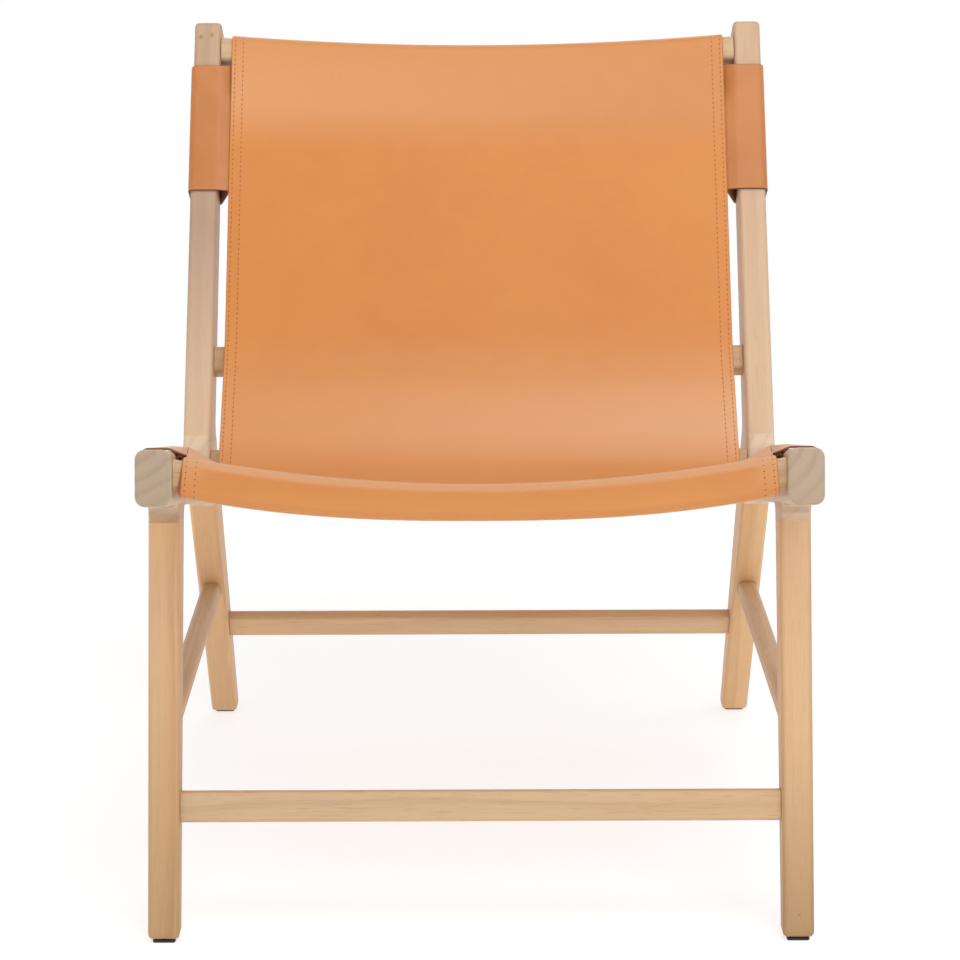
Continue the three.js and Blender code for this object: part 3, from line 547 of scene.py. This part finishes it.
# Wood, direction of the grain, and the log's heart seen from the board's middle
rigidPieces = {
    "seat_rail": ("railWood", alongSide(railBack), (.074, .080)),
    "front_leg": ("legWood", alongSide(frontLegUp), (.006, .046)),
    "rear_leg": ("legWood", alongSide(rearLegUp), (.010, .050)),
    "back_post": ("postWood", alongSide(postUp), (.016, .058)),
    "side_stretcher": ("barWood", Vector((0, 1, 0)), (.02, .04)),
}
for stem, up in (("front", frontLegUp), ("post", postUp), ("rear", rearLegUp)):
    for n in (1, 2):
        rigidPieces[f"{stem}_dowel_{n}"] = ("dowelWood", alongSide(up), (.02, .03))
crossPieces = {
    "front_seat_bar": (.02, .03), "top_back_bar": (.02, .04), "mid_back_bar": (.018, .036),
    "rear_seat_bar": (.024, .03), "front_stretcher": (.05, .012), "rear_stretcher": (.046, .014),
}

# Painted light and shade on each board, as colour factors evenly spaced from its foot or front to its top or back:
# the front legs darker towards the foot, the rear legs lighter, the left post darker than the right
noBoardPaintedLight = [(1, 1, 1)] * 2
boardPaintedLights = {
    "back_post_left": [(1.16, 1.2, 1.2), (.74, .71, .73), (.86, .79, .72)],
    "back_post_right": [(1.14, 1.2, 1.18), (1.02, .99, .94), (.97, .90, .86)],
    "front_leg_left": [(.72, .69, .59), (.93, .91, .87), (1.17, 1.17, 1.16)],
    "front_leg_right": [(.66, .62, .55), (1.03, 1.03, 1.0), (1.13, 1.13, 1.13)],
    "rear_leg_left": [(1.12, 1.14, 1.14), (1.22, 1.24, 1.26)],
    "rear_leg_right": [(1.14, 1.16, 1.18), (1.21, 1.25, 1.26)],
    "rear_stretcher": [(1.1, 1.1, 1.08)] * 2,
    "front_stretcher": [(.96, .95, .97), (1, 1, .98)],
    "seat_rail_left": [(.9, .91, .92), (1.14, 1.16, 1.19)],
    "seat_rail_right": [(.9, .91, .92), (1.14, 1.16, 1.19)],
}
plainEnds = {"low": (.9, .9, .9), "high": (.9, .9, .9)}
# End grain is darker than the faces. On the rails painted shade and light are added: the knuckle fronts darker
# still, the left lug under the knuckle painted into brown shade, the right lug and the elbow ends lighter
endGrainAndLight = {
    "seat_rail_left": {"low": (.72, .73, .75), "high": (1.06, 1.08, 1.1), "below": (.86, .70, .52)},
    "seat_rail_right": {"low": (.76, .77, .79), "high": (1.06, 1.08, 1.1), "below": (1.12, 1.09, 1.06)},
}


def camel(node):
    first, *rest = node.split("_")
    return first + "".join(word.capitalize() for word in rest)


def flattenNormals(made):
    weighted = made.modifiers.new("evenShading", "WEIGHTED_NORMAL")
    weighted.keep_sharp = True
    weighted.weight = smoothing["weight"]
    return made


def addBoard(node, wood, along, heart, seed):
    mesh = weldedCopy(node)
    tones = boardPaintedLights.get(node, noBoardPaintedLight)
    cutAcross(mesh, along, len(tones) - 1)
    setGrain(mesh, along, heart, seed)
    setBoardPaintedLight(mesh, along, tones, endGrainAndLight.get(node, plainEnds))
    slotName = "dowel_wood" if wood == "dowelWood" else "frame_wood"
    flattenNormals(addObject(camel(node), mesh, [woods[wood]], slotName, node))
    return mesh


seed = 3
boards = {}
for stem, piece in rigidPieces.items():
    for end in ("left", "right"):
        seed += 1
        boards[f"{stem}_{end}"] = addBoard(f"{stem}_{end}", *piece, seed)
for end in ("left", "right"):
    rail = boards[f"seat_rail_{end}"]
    closeJoint(boards[f"front_leg_{end}"], rail, alongSide(frontLegUp))
    closeJoint(boards[f"rear_leg_{end}"], rail, alongSide(rearLegUp))
    closeJoint(boards[f"back_post_{end}"], rail, Vector((0, 0, -1)))
for node, heart in crossPieces.items():
    seed += 1
    addBoard(node, "barWood", Vector((1, 0, 0)), heart, seed)
for material, slotName, stems in (
        (glideBlack, "glide_plastic", ("front_glide", "rear_glide")),
        (plainSteel, "steel", ("front_nail", "rear_nail", "strap_tack_1", "strap_tack_2"))):
    for node in [f"{stem}_{end}" for stem in stems for end in ("left", "right")]:
        flattenNormals(addObject(camel(node), weldedCopy(node), [material], slotName, node))
print("rigid pieces made")

# Straps: a back strap round each post and a seat strap round each rail
strap = {
    "thickness": .0022, "gap": .0004, "backTop": .0542, "backLength": .1461, "backTail": .044, "backRise": .0026,
    "seatStart": .0468, "seatLength": .036, "seatTail": .044, "seatDrop": .026, "seatRise": .0024, "bend": .003,
    "railCorner": .009, "postCorner": .0045, "turnRadius": .012, "reachRadius": .02, "edgeRadius": .0009,
    "edgeShares": (0, .2, .6, 1.2), "backHemFade": (.026, .022), "seatHemFade": (.014, .012), "underGap": .0003,
    "butt": .0005, "insideClose": .0025, "insideShares": (.2, .52), "insideTop": .0135, "insideEnd": .022,
    "coverPast": .012, "coverTop": .49, "pull": .85, "highlightFall": .7, "highlightDepth": .012, "steps": 7,
    "backSteps": 16, "seatSteps": 12, "tailSteps": 3,
}
strapOff = strap["gap"] + strap["thickness"] / 2

# Leather sling
sling = {
    "thickness": .0025, "gap": .0004, "flapGap": .0006, "topHalfWidth": .2683, "frontHalfWidth": .2689,
    "drop": .0993, "flapDrop": .028, "flapLength": .026, "flapBend": .008, "endLean": .45,
    "seatCurve": [(.12, .32, .89), (.27, .6, .3), (.41, .8, 0), (.55, .95, 0), (.65, 1, 0), (.73, .91, 0),
                  (.79, .68, 0), (.9, .22, 0)],
    "edgeHoldPower": 6, "dipFadePower": 1.5, "underDipPower": 2.5, "endSlack": .0006, "leftSlip": .0028,
    "slipPower": 24, "leanReach": (2.2, 1.4), "lowestShare": .65, "seatEndRise": .132, "barEndGap": .0003,
    "coarseSteps": 19, "curveSteps": 84, "cornerSteps": 7, "widthSteps": 26,
    "edgeRadius": .0011, "edgeShares": (0, .12, .45, 1, 2.2), "rimShare": .35,
    "frontBar": {"depth": .026, "height": .0293, "inset": .012, "lift": .0286, "dip": .026, "underDip": .0246,
                 "radius": .008},
    "topBar": {"depth": .022, "height": .0285, "drop": .0312, "inset": .0008, "dip": .013, "radius": .007},
}
frontBar, topBar, slingHalf = sling["frontBar"], sling["topBar"], sling["frontHalfWidth"]
leatherHalf = sling["thickness"] / 2
wrapGap = sling["gap"] + leatherHalf
layerStep = sling["thickness"] + sling["flapGap"]
frontReach = frontBar["inset"] + frontBar["depth"] / 2
frontBarAt = onRail(frontReach, frontBar["lift"])
frontSpan = chair["outerHalfWidth"] - railWidthAt(frontReach) - sling["barEndGap"]
topRise = chair["postLength"] - topBar["drop"]
topBarAt = onPost(topRise, topBar["inset"] + topBar["depth"] / 2)
topSpan = memberInner - sling["barEndGap"]
panelInset = topBar["inset"] - wrapGap


def dipAt(x, dip, span, power=2):
    return dip * (1 - abs(x / span) ** power)


# Centre line of the leather at one place across, from the front hem to the top one, with the front bar's middle
# there and the lowest place of the hollow
def slingPath(x):
    frontDip = dipAt(x, frontBar["dip"], frontSpan)
    underDip = dipAt(x, frontBar["underDip"], frontSpan, sling["underDipPower"])
    across = abs(x) / slingHalf
    looseGap = wrapGap + sling["endSlack"] * across ** 2
    topAt = topBarAt - postUp * dipAt(x, topBar["dip"], topSpan)
    frontAt = frontBarAt - railUp * (frontDip + underDip) / 2
    topA, topB = topBar["depth"] / 2 + wrapGap, topBar["height"] / 2 + wrapGap
    frontA, frontB = frontBar["depth"] / 2 + looseGap, (frontBar["height"] - frontDip + underDip) / 2 + looseGap

    def nearTop(a, b):
        return placeAt(topAt, postBack, a, postUp, b)

    def nearFront(a, b):
        return placeAt(frontAt, railBack, a, railUp, b)

    seatStart = nearFront(frontA, frontB)
    seatEnd = onPost(sling["seatEndRise"], panelInset)
    level = placeAt(frontBarAt, railBack, frontA, railUp, frontBar["height"] / 2 + looseGap)
    controls = [seatStart]
    for depthShare, dropShare, holdShare in sling["seatCurve"]:
        fade = max(0, 1 - depthShare / sling["lowestShare"]) ** sling["dipFadePower"]
        drop = dropShare * sling["drop"] * (1 - holdShare * across ** sling["edgeHoldPower"])
        controls.append(side(level.x + depthShare * (seatEnd.x - level.x), level.y - drop - frontDip * fade))
    controls += [seatEnd, (seatEnd + nearTop(-topA, topB)) / 2, nearTop(-topA, topB)]
    coarse = [splineAt(controls, k / sling["coarseSteps"]) for k in range(4)]

    def under(k):
        along = (coarse[k + 1] - coarse[k - 1]).normalized()
        return coarse[k] - squareTo(along) * layerStep

    flapLine = under(2) - under(1)
    flapCorner = meetLines(nearFront(frontA, -frontB), railUp, under(1), flapLine)
    panel = [splineAt(controls, k / sling["curveSteps"]) for k in range(1, sling["curveSteps"])]
    corners = [
        (under(1) + flapLine.normalized() * sling["flapLength"], 0),
        (flapCorner, sling["flapBend"] / 2),
        (nearFront(frontA, -frontB), frontBar["radius"]),
        (nearFront(-frontA, -frontB), frontBar["radius"]),
        (nearFront(-frontA, frontB), frontBar["radius"] + wrapGap),
        (seatStart, frontBar["radius"]),
        *[(at, 0) for at in panel],
        (nearTop(-topA, topB), topBar["radius"] + wrapGap),
        (nearTop(topA, topB), topBar["radius"] + wrapGap),
        (nearTop(topA, -topB), topBar["radius"]),
        (nearTop(layerStep - topA, -topB), sling["flapBend"] / 2),
        (nearTop(layerStep - topA, -topB - sling["flapDrop"]), 0),
    ]
    lowest = side(level.x + sling["lowestShare"] * (seatEnd.x - level.x), level.y - sling["drop"])
    return roundCorners(corners, sling["cornerSteps"]), frontAt, lowest


# The centre line again, with its normals, its places across and how far its back slips at the left end
def slingRing(x):
    points, frontAt, lowest = slingPath(x)
    normals = normalsOf(points)
    share = x / slingHalf
    backRise = onPost(chair["postLength"], 0).y - lowest.y
    lean = 2 * frontBar["dip"] * x / frontSpan ** 2
    far, fading = (frontBar["depth"] * reach for reach in sling["leanReach"])
    places, slips = [], []
    for p in points:
        climb = unit((p.y - lowest.y) / backRise) if p.x > lowest.x else 0
        halfWidth = slingHalf + (sling["topHalfWidth"] - slingHalf) * climb
        rise = (p - frontAt).dot(railUp)
        nearBar = unit((frontAt.x + far - p.x) / fading)
        places.append(share * halfWidth - lean * rise * sling["endLean"] * nearBar)
        low = unit(.5 - rise / frontBar["height"])
        slips.append(sling["leftSlip"] * low * nearBar * (x < 0) * abs(share) ** sling["slipPower"])
    return points, normals, places, slips


def slingStations():
    steps = sling["widthSteps"]
    outer = [sling["edgeRadius"] * share for share in sling["edgeShares"]]
    inner = [outer[-1] + (slingHalf - outer[-1]) * k / steps for k in range(1, steps + 1)]
    return [d - slingHalf for d in outer + inner] + [slingHalf - d for d in reversed((outer + inner)[:-1])]


def edgeThickness(distance, radius):
    reach = min(distance / radius, 1)
    return sling["rimShare"] + (1 - sling["rimShare"]) * math.sqrt(1 - (1 - reach) ** 2)


rimRings = 2  # outermost rings on each side of a sheet, which have the cut edge's material


def addSheet(shape, rings, inside, edge, plainStart):
    rows = [[shape.verts.new(p) for p in ring] for ring in rings]
    count = len(rows[0])
    for r in range(len(rows) - 1):
        for k in range(count):
            n = (k + 1) % count
            face = shape.faces.new((rows[r][k], rows[r][n], rows[r + 1][n], rows[r + 1][k]))
            ends = k == count // 2 - 1 or k == count - 1 and not plainStart
            face.material_index = edge if ends or r < rimRings or r >= len(rows) - 1 - rimRings else inside
            face.smooth = True
    for row in (rows[0], rows[-1]):
        for k in range(count // 2 - 1):
            face = shape.faces.new((row[k], row[k + 1], row[count - 2 - k], row[count - 1 - k]))
            face.material_index, face.smooth = edge, True


def closedSheets(layers, plainStart=False):
    shape = bmesh.new()
    for n, rings in enumerate(layers):
        addSheet(shape, rings, 2 * n, n + 1, plainStart and n == 0)
    bmesh.ops.recalc_face_normals(shape, faces=shape.faces)
    return keepShape(shape, bpy.data.meshes.new("leather"))


def hump(value, low, top, high):
    return ease((value - low) / (top - low) if value < top else (high - value) / (high - top))


def setFloat(mesh, name, values):
    mesh.attributes.new(name, "FLOAT", "POINT").data.foreach_set("value", [unit(v) for v in values])


# Painted highlight and painted shade on the leather: where each place starts, is fullest and ends, and by how much.
# On the back there are two amounts, one for the middle and one that is added towards the right
pull = {
    "frontDepth": .002, "panelStart": .1, "frontPull": .14, "frontShade": .04,
    "crest": {"at": (.0088, .0142, .05), "pull": .66, "shade": .09},
    "face": {"at": (-.045, -.018, .006), "pull": .08},
    "lip": {"at": (-.014, .008, .016), "shade": .06},
    "behindBar": {"at": (-1, .014, .07), "pull": .78, "shade": .13},
    "seat": {"at": (.26, .345, 9), "pull": .27},
    "turn": {"at": (-.047, .022, .14), "pull": (.70, .27)},
    "top": {"at": (.345, .405, .56), "pull": (.40, -.14), "shade": (.05, .05)},
    "corner": {"across": (.86, .98, 1.6), "back": (-.06, .02, .11)},
}


def setPaintedLight(mesh):
    values, shades = [], []
    for v in mesh.vertices:
        p = inSide(v.co)
        across = v.co.x / slingHalf
        fromBar = p - (frontBarAt - railUp * dipAt(v.co.x, frontBar["dip"], frontSpan))
        low, back = fromBar.dot(railUp), fromBar.dot(railBack)
        rise = (p - elbow).dot(postUp)

        def near(place, value, kind="pull"):
            amount = pull[place][kind]
            if isinstance(amount, tuple):
                amount = amount[0] + amount[1] * across
            return amount * hump(value, *pull[place]["at"])

        if back < frontBar["depth"] / 2 + pull["frontDepth"]:
            value = near("crest", low) + pull["frontPull"] + near("face", low)
            shade = near("crest", low, "shade") + pull["frontShade"] + near("lip", low, "shade")
        elif p.x > frontBarAt.x + pull["panelStart"]:
            seat = near("seat", p.x) * (rise < pull["turn"]["at"][1])
            value = max(seat, near("turn", rise)) + near("top", rise)
            shade = near("top", rise, "shade")
        else:
            value, shade = (near("behindBar", back, kind) for kind in ("pull", "shade"))
        corner = hump(abs(across), *pull["corner"]["across"]) * hump(back, *pull["corner"]["back"]) * (low > 0)
        values.append(max(value, corner))
        shades.append(shade)
    setFloat(mesh, "pull", values)
    setFloat(mesh, "shade", shades)


# The seat straps hide the sling's cut edge and stitches beside them
def underStrap(p):
    local = p - knuckleFoot
    reach = strap["seatStart"] + strap["seatLength"] + strap["coverPast"]
    covered = frontBar["inset"] + strap["coverPast"] < local.dot(railBack) < reach
    return covered and local.dot(railUp) > frontBar["lift"] and p.y < strap["coverTop"]


def makeSling():
    rings = []
    for x in slingStations():
        edgeDistance = slingHalf - abs(x)
        points, normals, places, slips = slingRing(x)
        half = leatherHalf * edgeThickness(edgeDistance, sling["edgeRadius"])
        front = [inRow(px, p + n * half) for p, n, px in zip(points, normals, places)]
        back = [inRow(px - slip, p - n * half) for p, n, px, slip in zip(points, normals, places, slips)]
        rings.append(front + back[::-1])
    mesh = closedSheets([rings])
    setPaintedLight(mesh)
    for face in mesh.polygons:
        if face.material_index == 1 and underStrap(inSide(face.center)):
            face.material_index = 0
    return flattenNormals(addObject("slingPanel", mesh, [leathers["slingLeather"], leathers["cutEdge"]],
                                    "sling_leather", "sling_panel"))


slingPanel = makeSling()
print("sling made")

# Two rows of stitches down each side of the sling
stitching = {
    "rows": (.0037, .0125), "pitch": .0056, "threadShares": (.86, .92), "threadRadius": .0003, "sides": 6,
    "threadForm": ((0, -1, .5), (.12, -.55, .9), (.5, -.35, 1), (.88, -.55, .9), (1, -1, .5)),
    "hole": (.00078, .0006), "holeSides": 8, "holeTop": .00006, "holeDepth": .0002,
}


def surfaceLine(x):
    points, normals, places, _ = slingRing(x)
    line = [(inRow(px, p + n * leatherHalf), alongSide(n)) for p, n, px in zip(points, normals, places)]
    lengths = [0]
    for (a, _), (b, _) in zip(line, line[1:]):
        lengths.append(lengths[-1] + (b - a).length)
    return line, lengths


def alongLine(line, lengths, distance, k):
    while k < len(lengths) - 2 and lengths[k + 1] < distance:
        k += 1
    share = (distance - lengths[k]) / max(lengths[k + 1] - lengths[k], 1e-9)
    return line[k][0].lerp(line[k + 1][0], share), line[k][1].lerp(line[k + 1][1], share).normalized(), k


def addThread(shape, a, b, up):
    along = (b - a).normalized()
    across = along.cross(up)
    rings = []
    for share, lift, size in stitching["threadForm"]:
        centre = a.lerp(b, share) + up * lift * stitching["threadRadius"]
        ring = []
        for k in range(stitching["sides"]):
            turn = 2 * math.pi * k / stitching["sides"]
            offset = across * math.cos(turn) + up * math.sin(turn)
            ring.append(shape.verts.new(centre + offset * stitching["threadRadius"] * size))
        rings.append(ring)
    for low, high in zip(rings, rings[1:]):
        for k in range(len(low)):
            face = shape.faces.new((low[k], low[(k + 1) % len(low)], high[(k + 1) % len(low)], high[k]))
            face.smooth = True
    shape.faces.new(rings[0][::-1])
    shape.faces.new(rings[-1])


# A hole is a dark disc at the surface, painted shade for the hollow
def addHoleShade(shape, at, along, up):
    across, (wide, long), sides = along.cross(up), stitching["hole"], stitching["holeSides"]
    rim = []
    for k in range(sides):
        turn = 2 * math.pi * k / sides
        rim.append(at + across * math.cos(turn) * wide + along * math.sin(turn) * long)
    top = [shape.verts.new(p + up * stitching["holeTop"]) for p in rim]
    low = [shape.verts.new(p - up * stitching["holeDepth"]) for p in rim]
    around = [(low[k], low[(k + 1) % sides], top[(k + 1) % sides], top[k]) for k in range(sides)]
    for corners in (top, low[::-1], *around):
        shape.faces.new(corners).material_index = 1


def makeStitches():
    shape = bmesh.new()
    rng = random.Random(5)
    for sign in (-1, 1):
        for inset in stitching["rows"]:
            line, lengths = surfaceLine(sign * (slingHalf - inset))
            distance, k = stitching["pitch"], 0
            while distance < lengths[-1] - 2 * stitching["pitch"]:
                a, up, k = alongLine(line, lengths, distance, k)
                if not underStrap(inSide(a)):
                    share = rng.uniform(*stitching["threadShares"])
                    b, _, _ = alongLine(line, lengths, distance + stitching["pitch"] * share, k)
                    along = (b - a).normalized()
                    addHoleShade(shape, a, along, up)
                    addThread(shape, a + along * stitching["hole"][1] / 2, b, up)
                distance += stitching["pitch"]
    bmesh.ops.recalc_face_normals(shape, faces=shape.faces)
    mesh = keepShape(shape, bpy.data.meshes.new("stitches"))
    return addObject("slingStitches", mesh, [thread, hole], "sling_leather")


slingStitches = makeStitches()
print("stitches made")


# Strap sheets
def strapRings(sections, distances):
    rings = []
    for (points, toRow), distance in zip(sections, distances):
        normals = normalsOf(points)
        edge = min(distance - distances[0], distances[-1] - distance)
        half = strap["thickness"] / 2 * edgeThickness(edge, strap["edgeRadius"])
        front = [toRow(p + n * half) for p, n in zip(points, normals)]
        back = [toRow(p - n * half) for p, n in zip(points, normals)]
        rings.append(front + back[::-1])
    return rings


def strapPlaces(start, length, steps):
    outer = [strap["edgeRadius"] * share for share in strap["edgeShares"]]
    inner = [outer[-1] + (length - 2 * outer[-1]) * k / steps for k in range(1, steps)]
    return [start + d for d in outer + inner + [length - e for e in reversed(outer)]]


def addStrap(node, mesh, *finishes):
    addObject(camel(node), mesh, [leathers[name] for name in finishes], "strap_leather", node)


def makeBackStrap(end):
    sign = -1 if end == "left" else 1
    turnIn = sling["topHalfWidth"]
    tailEnd = turnIn - strap["backTail"]
    flapEnd = topRise - topBar["height"] / 2 - sling["flapDrop"]
    start = chair["postLength"] - strap["backTop"] - strap["backLength"]
    before, fading = strap["backHemFade"]
    rises = strapPlaces(start, strap["backLength"], strap["backSteps"])
    sections = []
    for rise in rises:
        depth = postDepthAt(rise)
        overHem = layerStep * ease((rise - flapEnd + before) / fading)
        behind = panelInset + leatherHalf + strapOff + overHem
        outer, corner = chair["outerHalfWidth"] + strapOff, strap["postCorner"]
        corners = [
            (side(tailEnd, behind), 0),
            (side(turnIn, behind), strap["turnRadius"]),
            (side(memberInner, -strapOff), strap["reachRadius"]),
            (side(outer, -strapOff), corner + strapOff),
            (side(outer, depth + strapOff), corner + strapOff),
            (side(memberInner, depth + strapOff), corner),
            (side(turnIn, behind + strap["thickness"] + strap["gap"]), strap["bend"]),
            (side(tailEnd, behind + strap["thickness"] + strap["gap"]), 0),
        ]
        high = ((rise - start) / strap["backLength"]) ** 4 * strap["backRise"]

        def toRow(p, rise=rise, high=high):
            inward = unit((memberInner - p.x) / (memberInner - turnIn))
            return inRow(sign * p.x, onPost(rise + high * inward, p.y))

        sections.append((roundCorners(corners, strap["steps"]), toRow))
    mesh = closedSheets([strapRings(sections, rises)])
    addStrap(f"back_strap_{end}", mesh, "strapLeather", "strapEdge")


# Place across and height of the sling at one distance along the rail, above the front bar's lower corners
def slingBeside(distance, x):
    points, _, places, _ = slingRing(x)
    lowCorners = 4 * (sling["cornerSteps"] + 1)
    local = [((p - knuckleFoot).dot(railBack), side(px, (p - knuckleFoot).dot(railUp)))
             for p, px in zip(points[lowCorners:], places[lowCorners:])]
    for (s0, a), (s1, b) in zip(local, local[1:]):
        if s0 <= distance <= s1:
            return a.lerp(b, (distance - s0) / (s1 - s0))


def makeSeatStrap(end):
    sign = -1 if end == "left" else 1
    tailEnd = slingHalf - strap["seatTail"]
    corner = strap["railCorner"]
    bend = corner + strapOff
    flapEnd = frontReach + frontBar["depth"] / 2 + wrapGap + sling["flapLength"]
    past, fading = strap["seatHemFade"]
    distances = strapPlaces(strap["seatStart"], strap["seatLength"], strap["seatSteps"])
    upper, lower = [], []
    for distance in distances:
        roof = railFloor(distance) + railDepthAt(distance)
        share = (distance - strap["seatStart"]) / strap["seatLength"]
        underHem = layerStep * ease((flapEnd + past - distance) / fading)
        below = leatherHalf + strapOff + strap["underGap"] + underHem
        rise = strap["seatRise"] * share
        outer = chair["outerHalfWidth"] + strapOff
        inner = chair["outerHalfWidth"] - railWidthAt(distance) + corner
        edgeAt = slingBeside(distance, slingHalf)
        first = edgeAt + side(strap["butt"], (sling["thickness"] - strap["thickness"]) / 2)
        turnAt = side(inner, roof + rise - corner)
        reach = turnAt - first
        climb = math.atan2(reach.y, reach.x) + math.asin(bend / reach.length)
        leave = turnAt + side(-math.sin(climb), math.cos(climb)) * bend
        close = squareTo((leave - first).normalized()) * -strap["insideClose"]

        def toRow(p, distance=distance):
            return inRow(sign * p.x, onRail(distance, p.y))

        upper.append((roundCorners([
            (first, 0),
            (side(inner - bend * math.tan(climb / 2), roof + rise + strapOff), bend),
            (side(outer, roof + strapOff), corner),
            (side(outer, roof - strap["seatDrop"]), 0),
        ], strap["steps"]), toRow))
        # The lower sheet runs from under the sling's edge down the rail's inner side. It closes the opening between
        # strap, knuckle and bar with dark leather: painted shade
        wall = inner - corner - strapOff
        tail = [tailEnd + strap["seatTail"] * n / strap["tailSteps"] for n in range(strap["tailSteps"])]
        lower.append((roundCorners([
            *[(slingBeside(distance, x) - side(0, below), 0) for x in tail],
            (edgeAt + side(strap["butt"], -below), strap["bend"] / 2),
            (first.lerp(leave, strap["insideShares"][0]) + close, strap["bend"] / 2),
            (first.lerp(leave, strap["insideShares"][1]) + close, strap["bend"] / 3),
            (side(wall, roof - strap["insideTop"]), strap["bend"]),
            (side(wall, roof - strap["insideEnd"]), 0),
        ], strap["steps"]), toRow))
    mesh = closedSheets([strapRings(upper, distances), strapRings(lower, distances)], True)
    # Painted highlight: the seat strap pale on its top, less so down its sides
    points = [inSide(v.co) for v in mesh.vertices]
    sunk = [onRail(p.x - knuckleFoot.x, chair["knuckleDepth"]).y - p.y for p in points]
    setFloat(mesh, "pull", [strap["pull"] * (1 - strap["highlightFall"] * unit(s / strap["highlightDepth"])) for s in sunk])
    addStrap(f"seat_strap_{end}", mesh, "strapLeather", "strapEdge", "strapInside")


for makeStrap in (makeBackStrap, makeSeatStrap):
    for end in ("left", "right"):
        makeStrap(end)
print("straps made")

# The sling's cut size
cutLine = slingPath(0)[0]
slingLength = sum((b - a).length for a, b in zip(cutLine, cutLine[1:]))
print("sling cut length", round(slingLength, 4))

# Studio: pale floor, soft light, the photograph's camera
studio = {
    "floorHalf": 14, "camera": (-.0048, -2.6702, 1.0516), "pitch": 75.3528, "yaw": -.1198, "roll": -.1652,
    "lens": 101.22, "sensor": 36, "clip": (.05, 60), "skyStrength": .50,
    "floorGrey": .8, "floorGlow": .40, "seenGrey": .42, "seenGlow": .7, "whiteFrom": (.9, 2.4),
}
# Name, place, what it is aimed at, size and power
lamps = [
    ("topPanel", (.6, -1.2, 3.3), (0, 0, .4), (2.4, 1.6), 44),
    ("frontPanel", (1.3, -3.4, 1.5), (0, 0, .4), (2.4, 2.0), 26),
    ("fillPanel", (-2.8, -2.2, 1.4), (0, 0, .4), (2.4, 2.0), 16),
    ("backPanel", (.4, 2.8, 3.0), (0, 0, .5), (2.4, 1.6), 16),
]


# 1 where the camera, a reflection or a clear part sees the backdrop
def seenRay(g):
    camera, glossy, clear = (g.add("ShaderNodeLightPath", out=f"Is {name} Ray")
                             for name in ("Camera", "Glossy", "Transmission"))
    return (camera + glossy + clear).math("MINIMUM", 1)


def grey(value):
    return (value, value, value, 1)


def makeFloor():
    mesh = bpy.data.meshes.new("floor")
    shape = bmesh.new()
    bmesh.ops.create_grid(shape, x_segments=8, y_segments=8, size=studio["floorHalf"])
    floor = newObject("studioFloor", keepShape(shape, mesh))
    g = Graph("studioFloor")

    def glowing(value, strength):
        matte = g.add("ShaderNodeBsdfDiffuse", {}, {"Color": grey(value)})
        glow = g.add("ShaderNodeEmission", {}, {"Color": grey(1), "Strength": strength})
        return g.add("ShaderNodeAddShader", {}, {0: matte, 1: glow})

    white = g.add("ShaderNodeEmission", {}, {"Color": grey(1), "Strength": 1})
    place = g.add("ShaderNodeTexCoord", out="Object")
    away = g.add("ShaderNodeVectorMath", {"operation": "LENGTH"}, {0: place}, "Value")
    seen = g.add("ShaderNodeMixShader", {}, {
        0: g.range(away, *studio["whiteFrom"]), 1: glowing(studio["seenGrey"], studio["seenGlow"]), 2: white})
    mixed = g.add("ShaderNodeMixShader", {}, {
        0: seenRay(g), 1: glowing(studio["floorGrey"], studio["floorGlow"]), 2: seen})
    g.add("ShaderNodeOutputMaterial", {}, {"Surface": mixed})
    mesh.materials.append(g.owner)


def makeSky():
    world = bpy.data.worlds.new("studioSky")
    bpy.context.scene.world = world
    g = Graph("studioSky", world)
    soft = g.add("ShaderNodeBackground", {}, {"Color": grey(1), "Strength": studio["skyStrength"]})
    white = g.add("ShaderNodeBackground", {}, {"Color": grey(1), "Strength": 1})
    mixed = g.add("ShaderNodeMixShader", {}, {0: seenRay(g), 1: soft, 2: white})
    g.add("ShaderNodeOutputWorld", {}, {"Surface": mixed})


def makeLamp(name, at, aim, size, power):
    data = bpy.data.lights.new(name, "AREA")
    data.shape = "RECTANGLE"
    data.size, data.size_y = size
    data.energy = power
    made = newObject(name, data)
    made.location = at
    made.rotation_euler = (Vector(aim) - Vector(at)).to_track_quat("-Z", "Y").to_euler()


def makeCamera():
    data = bpy.data.cameras.new("camera")
    data.lens, data.sensor_width = studio["lens"], studio["sensor"]
    data.clip_start, data.clip_end = studio["clip"]
    made = newObject("camera", data)
    yaw, pitch, roll = (Matrix.Rotation(math.radians(studio[name]), 4, axis)
                        for name, axis in (("yaw", "Z"), ("pitch", "X"), ("roll", "Z")))
    made.matrix_world = Matrix.Translation(studio["camera"]) @ yaw @ pitch @ roll
    bpy.context.scene.camera = made


makeFloor()
makeSky()
for lamp in lamps:
    makeLamp(*lamp)
makeCamera()
bpy.context.scene.view_settings.view_transform = "Standard"
print("studio made")
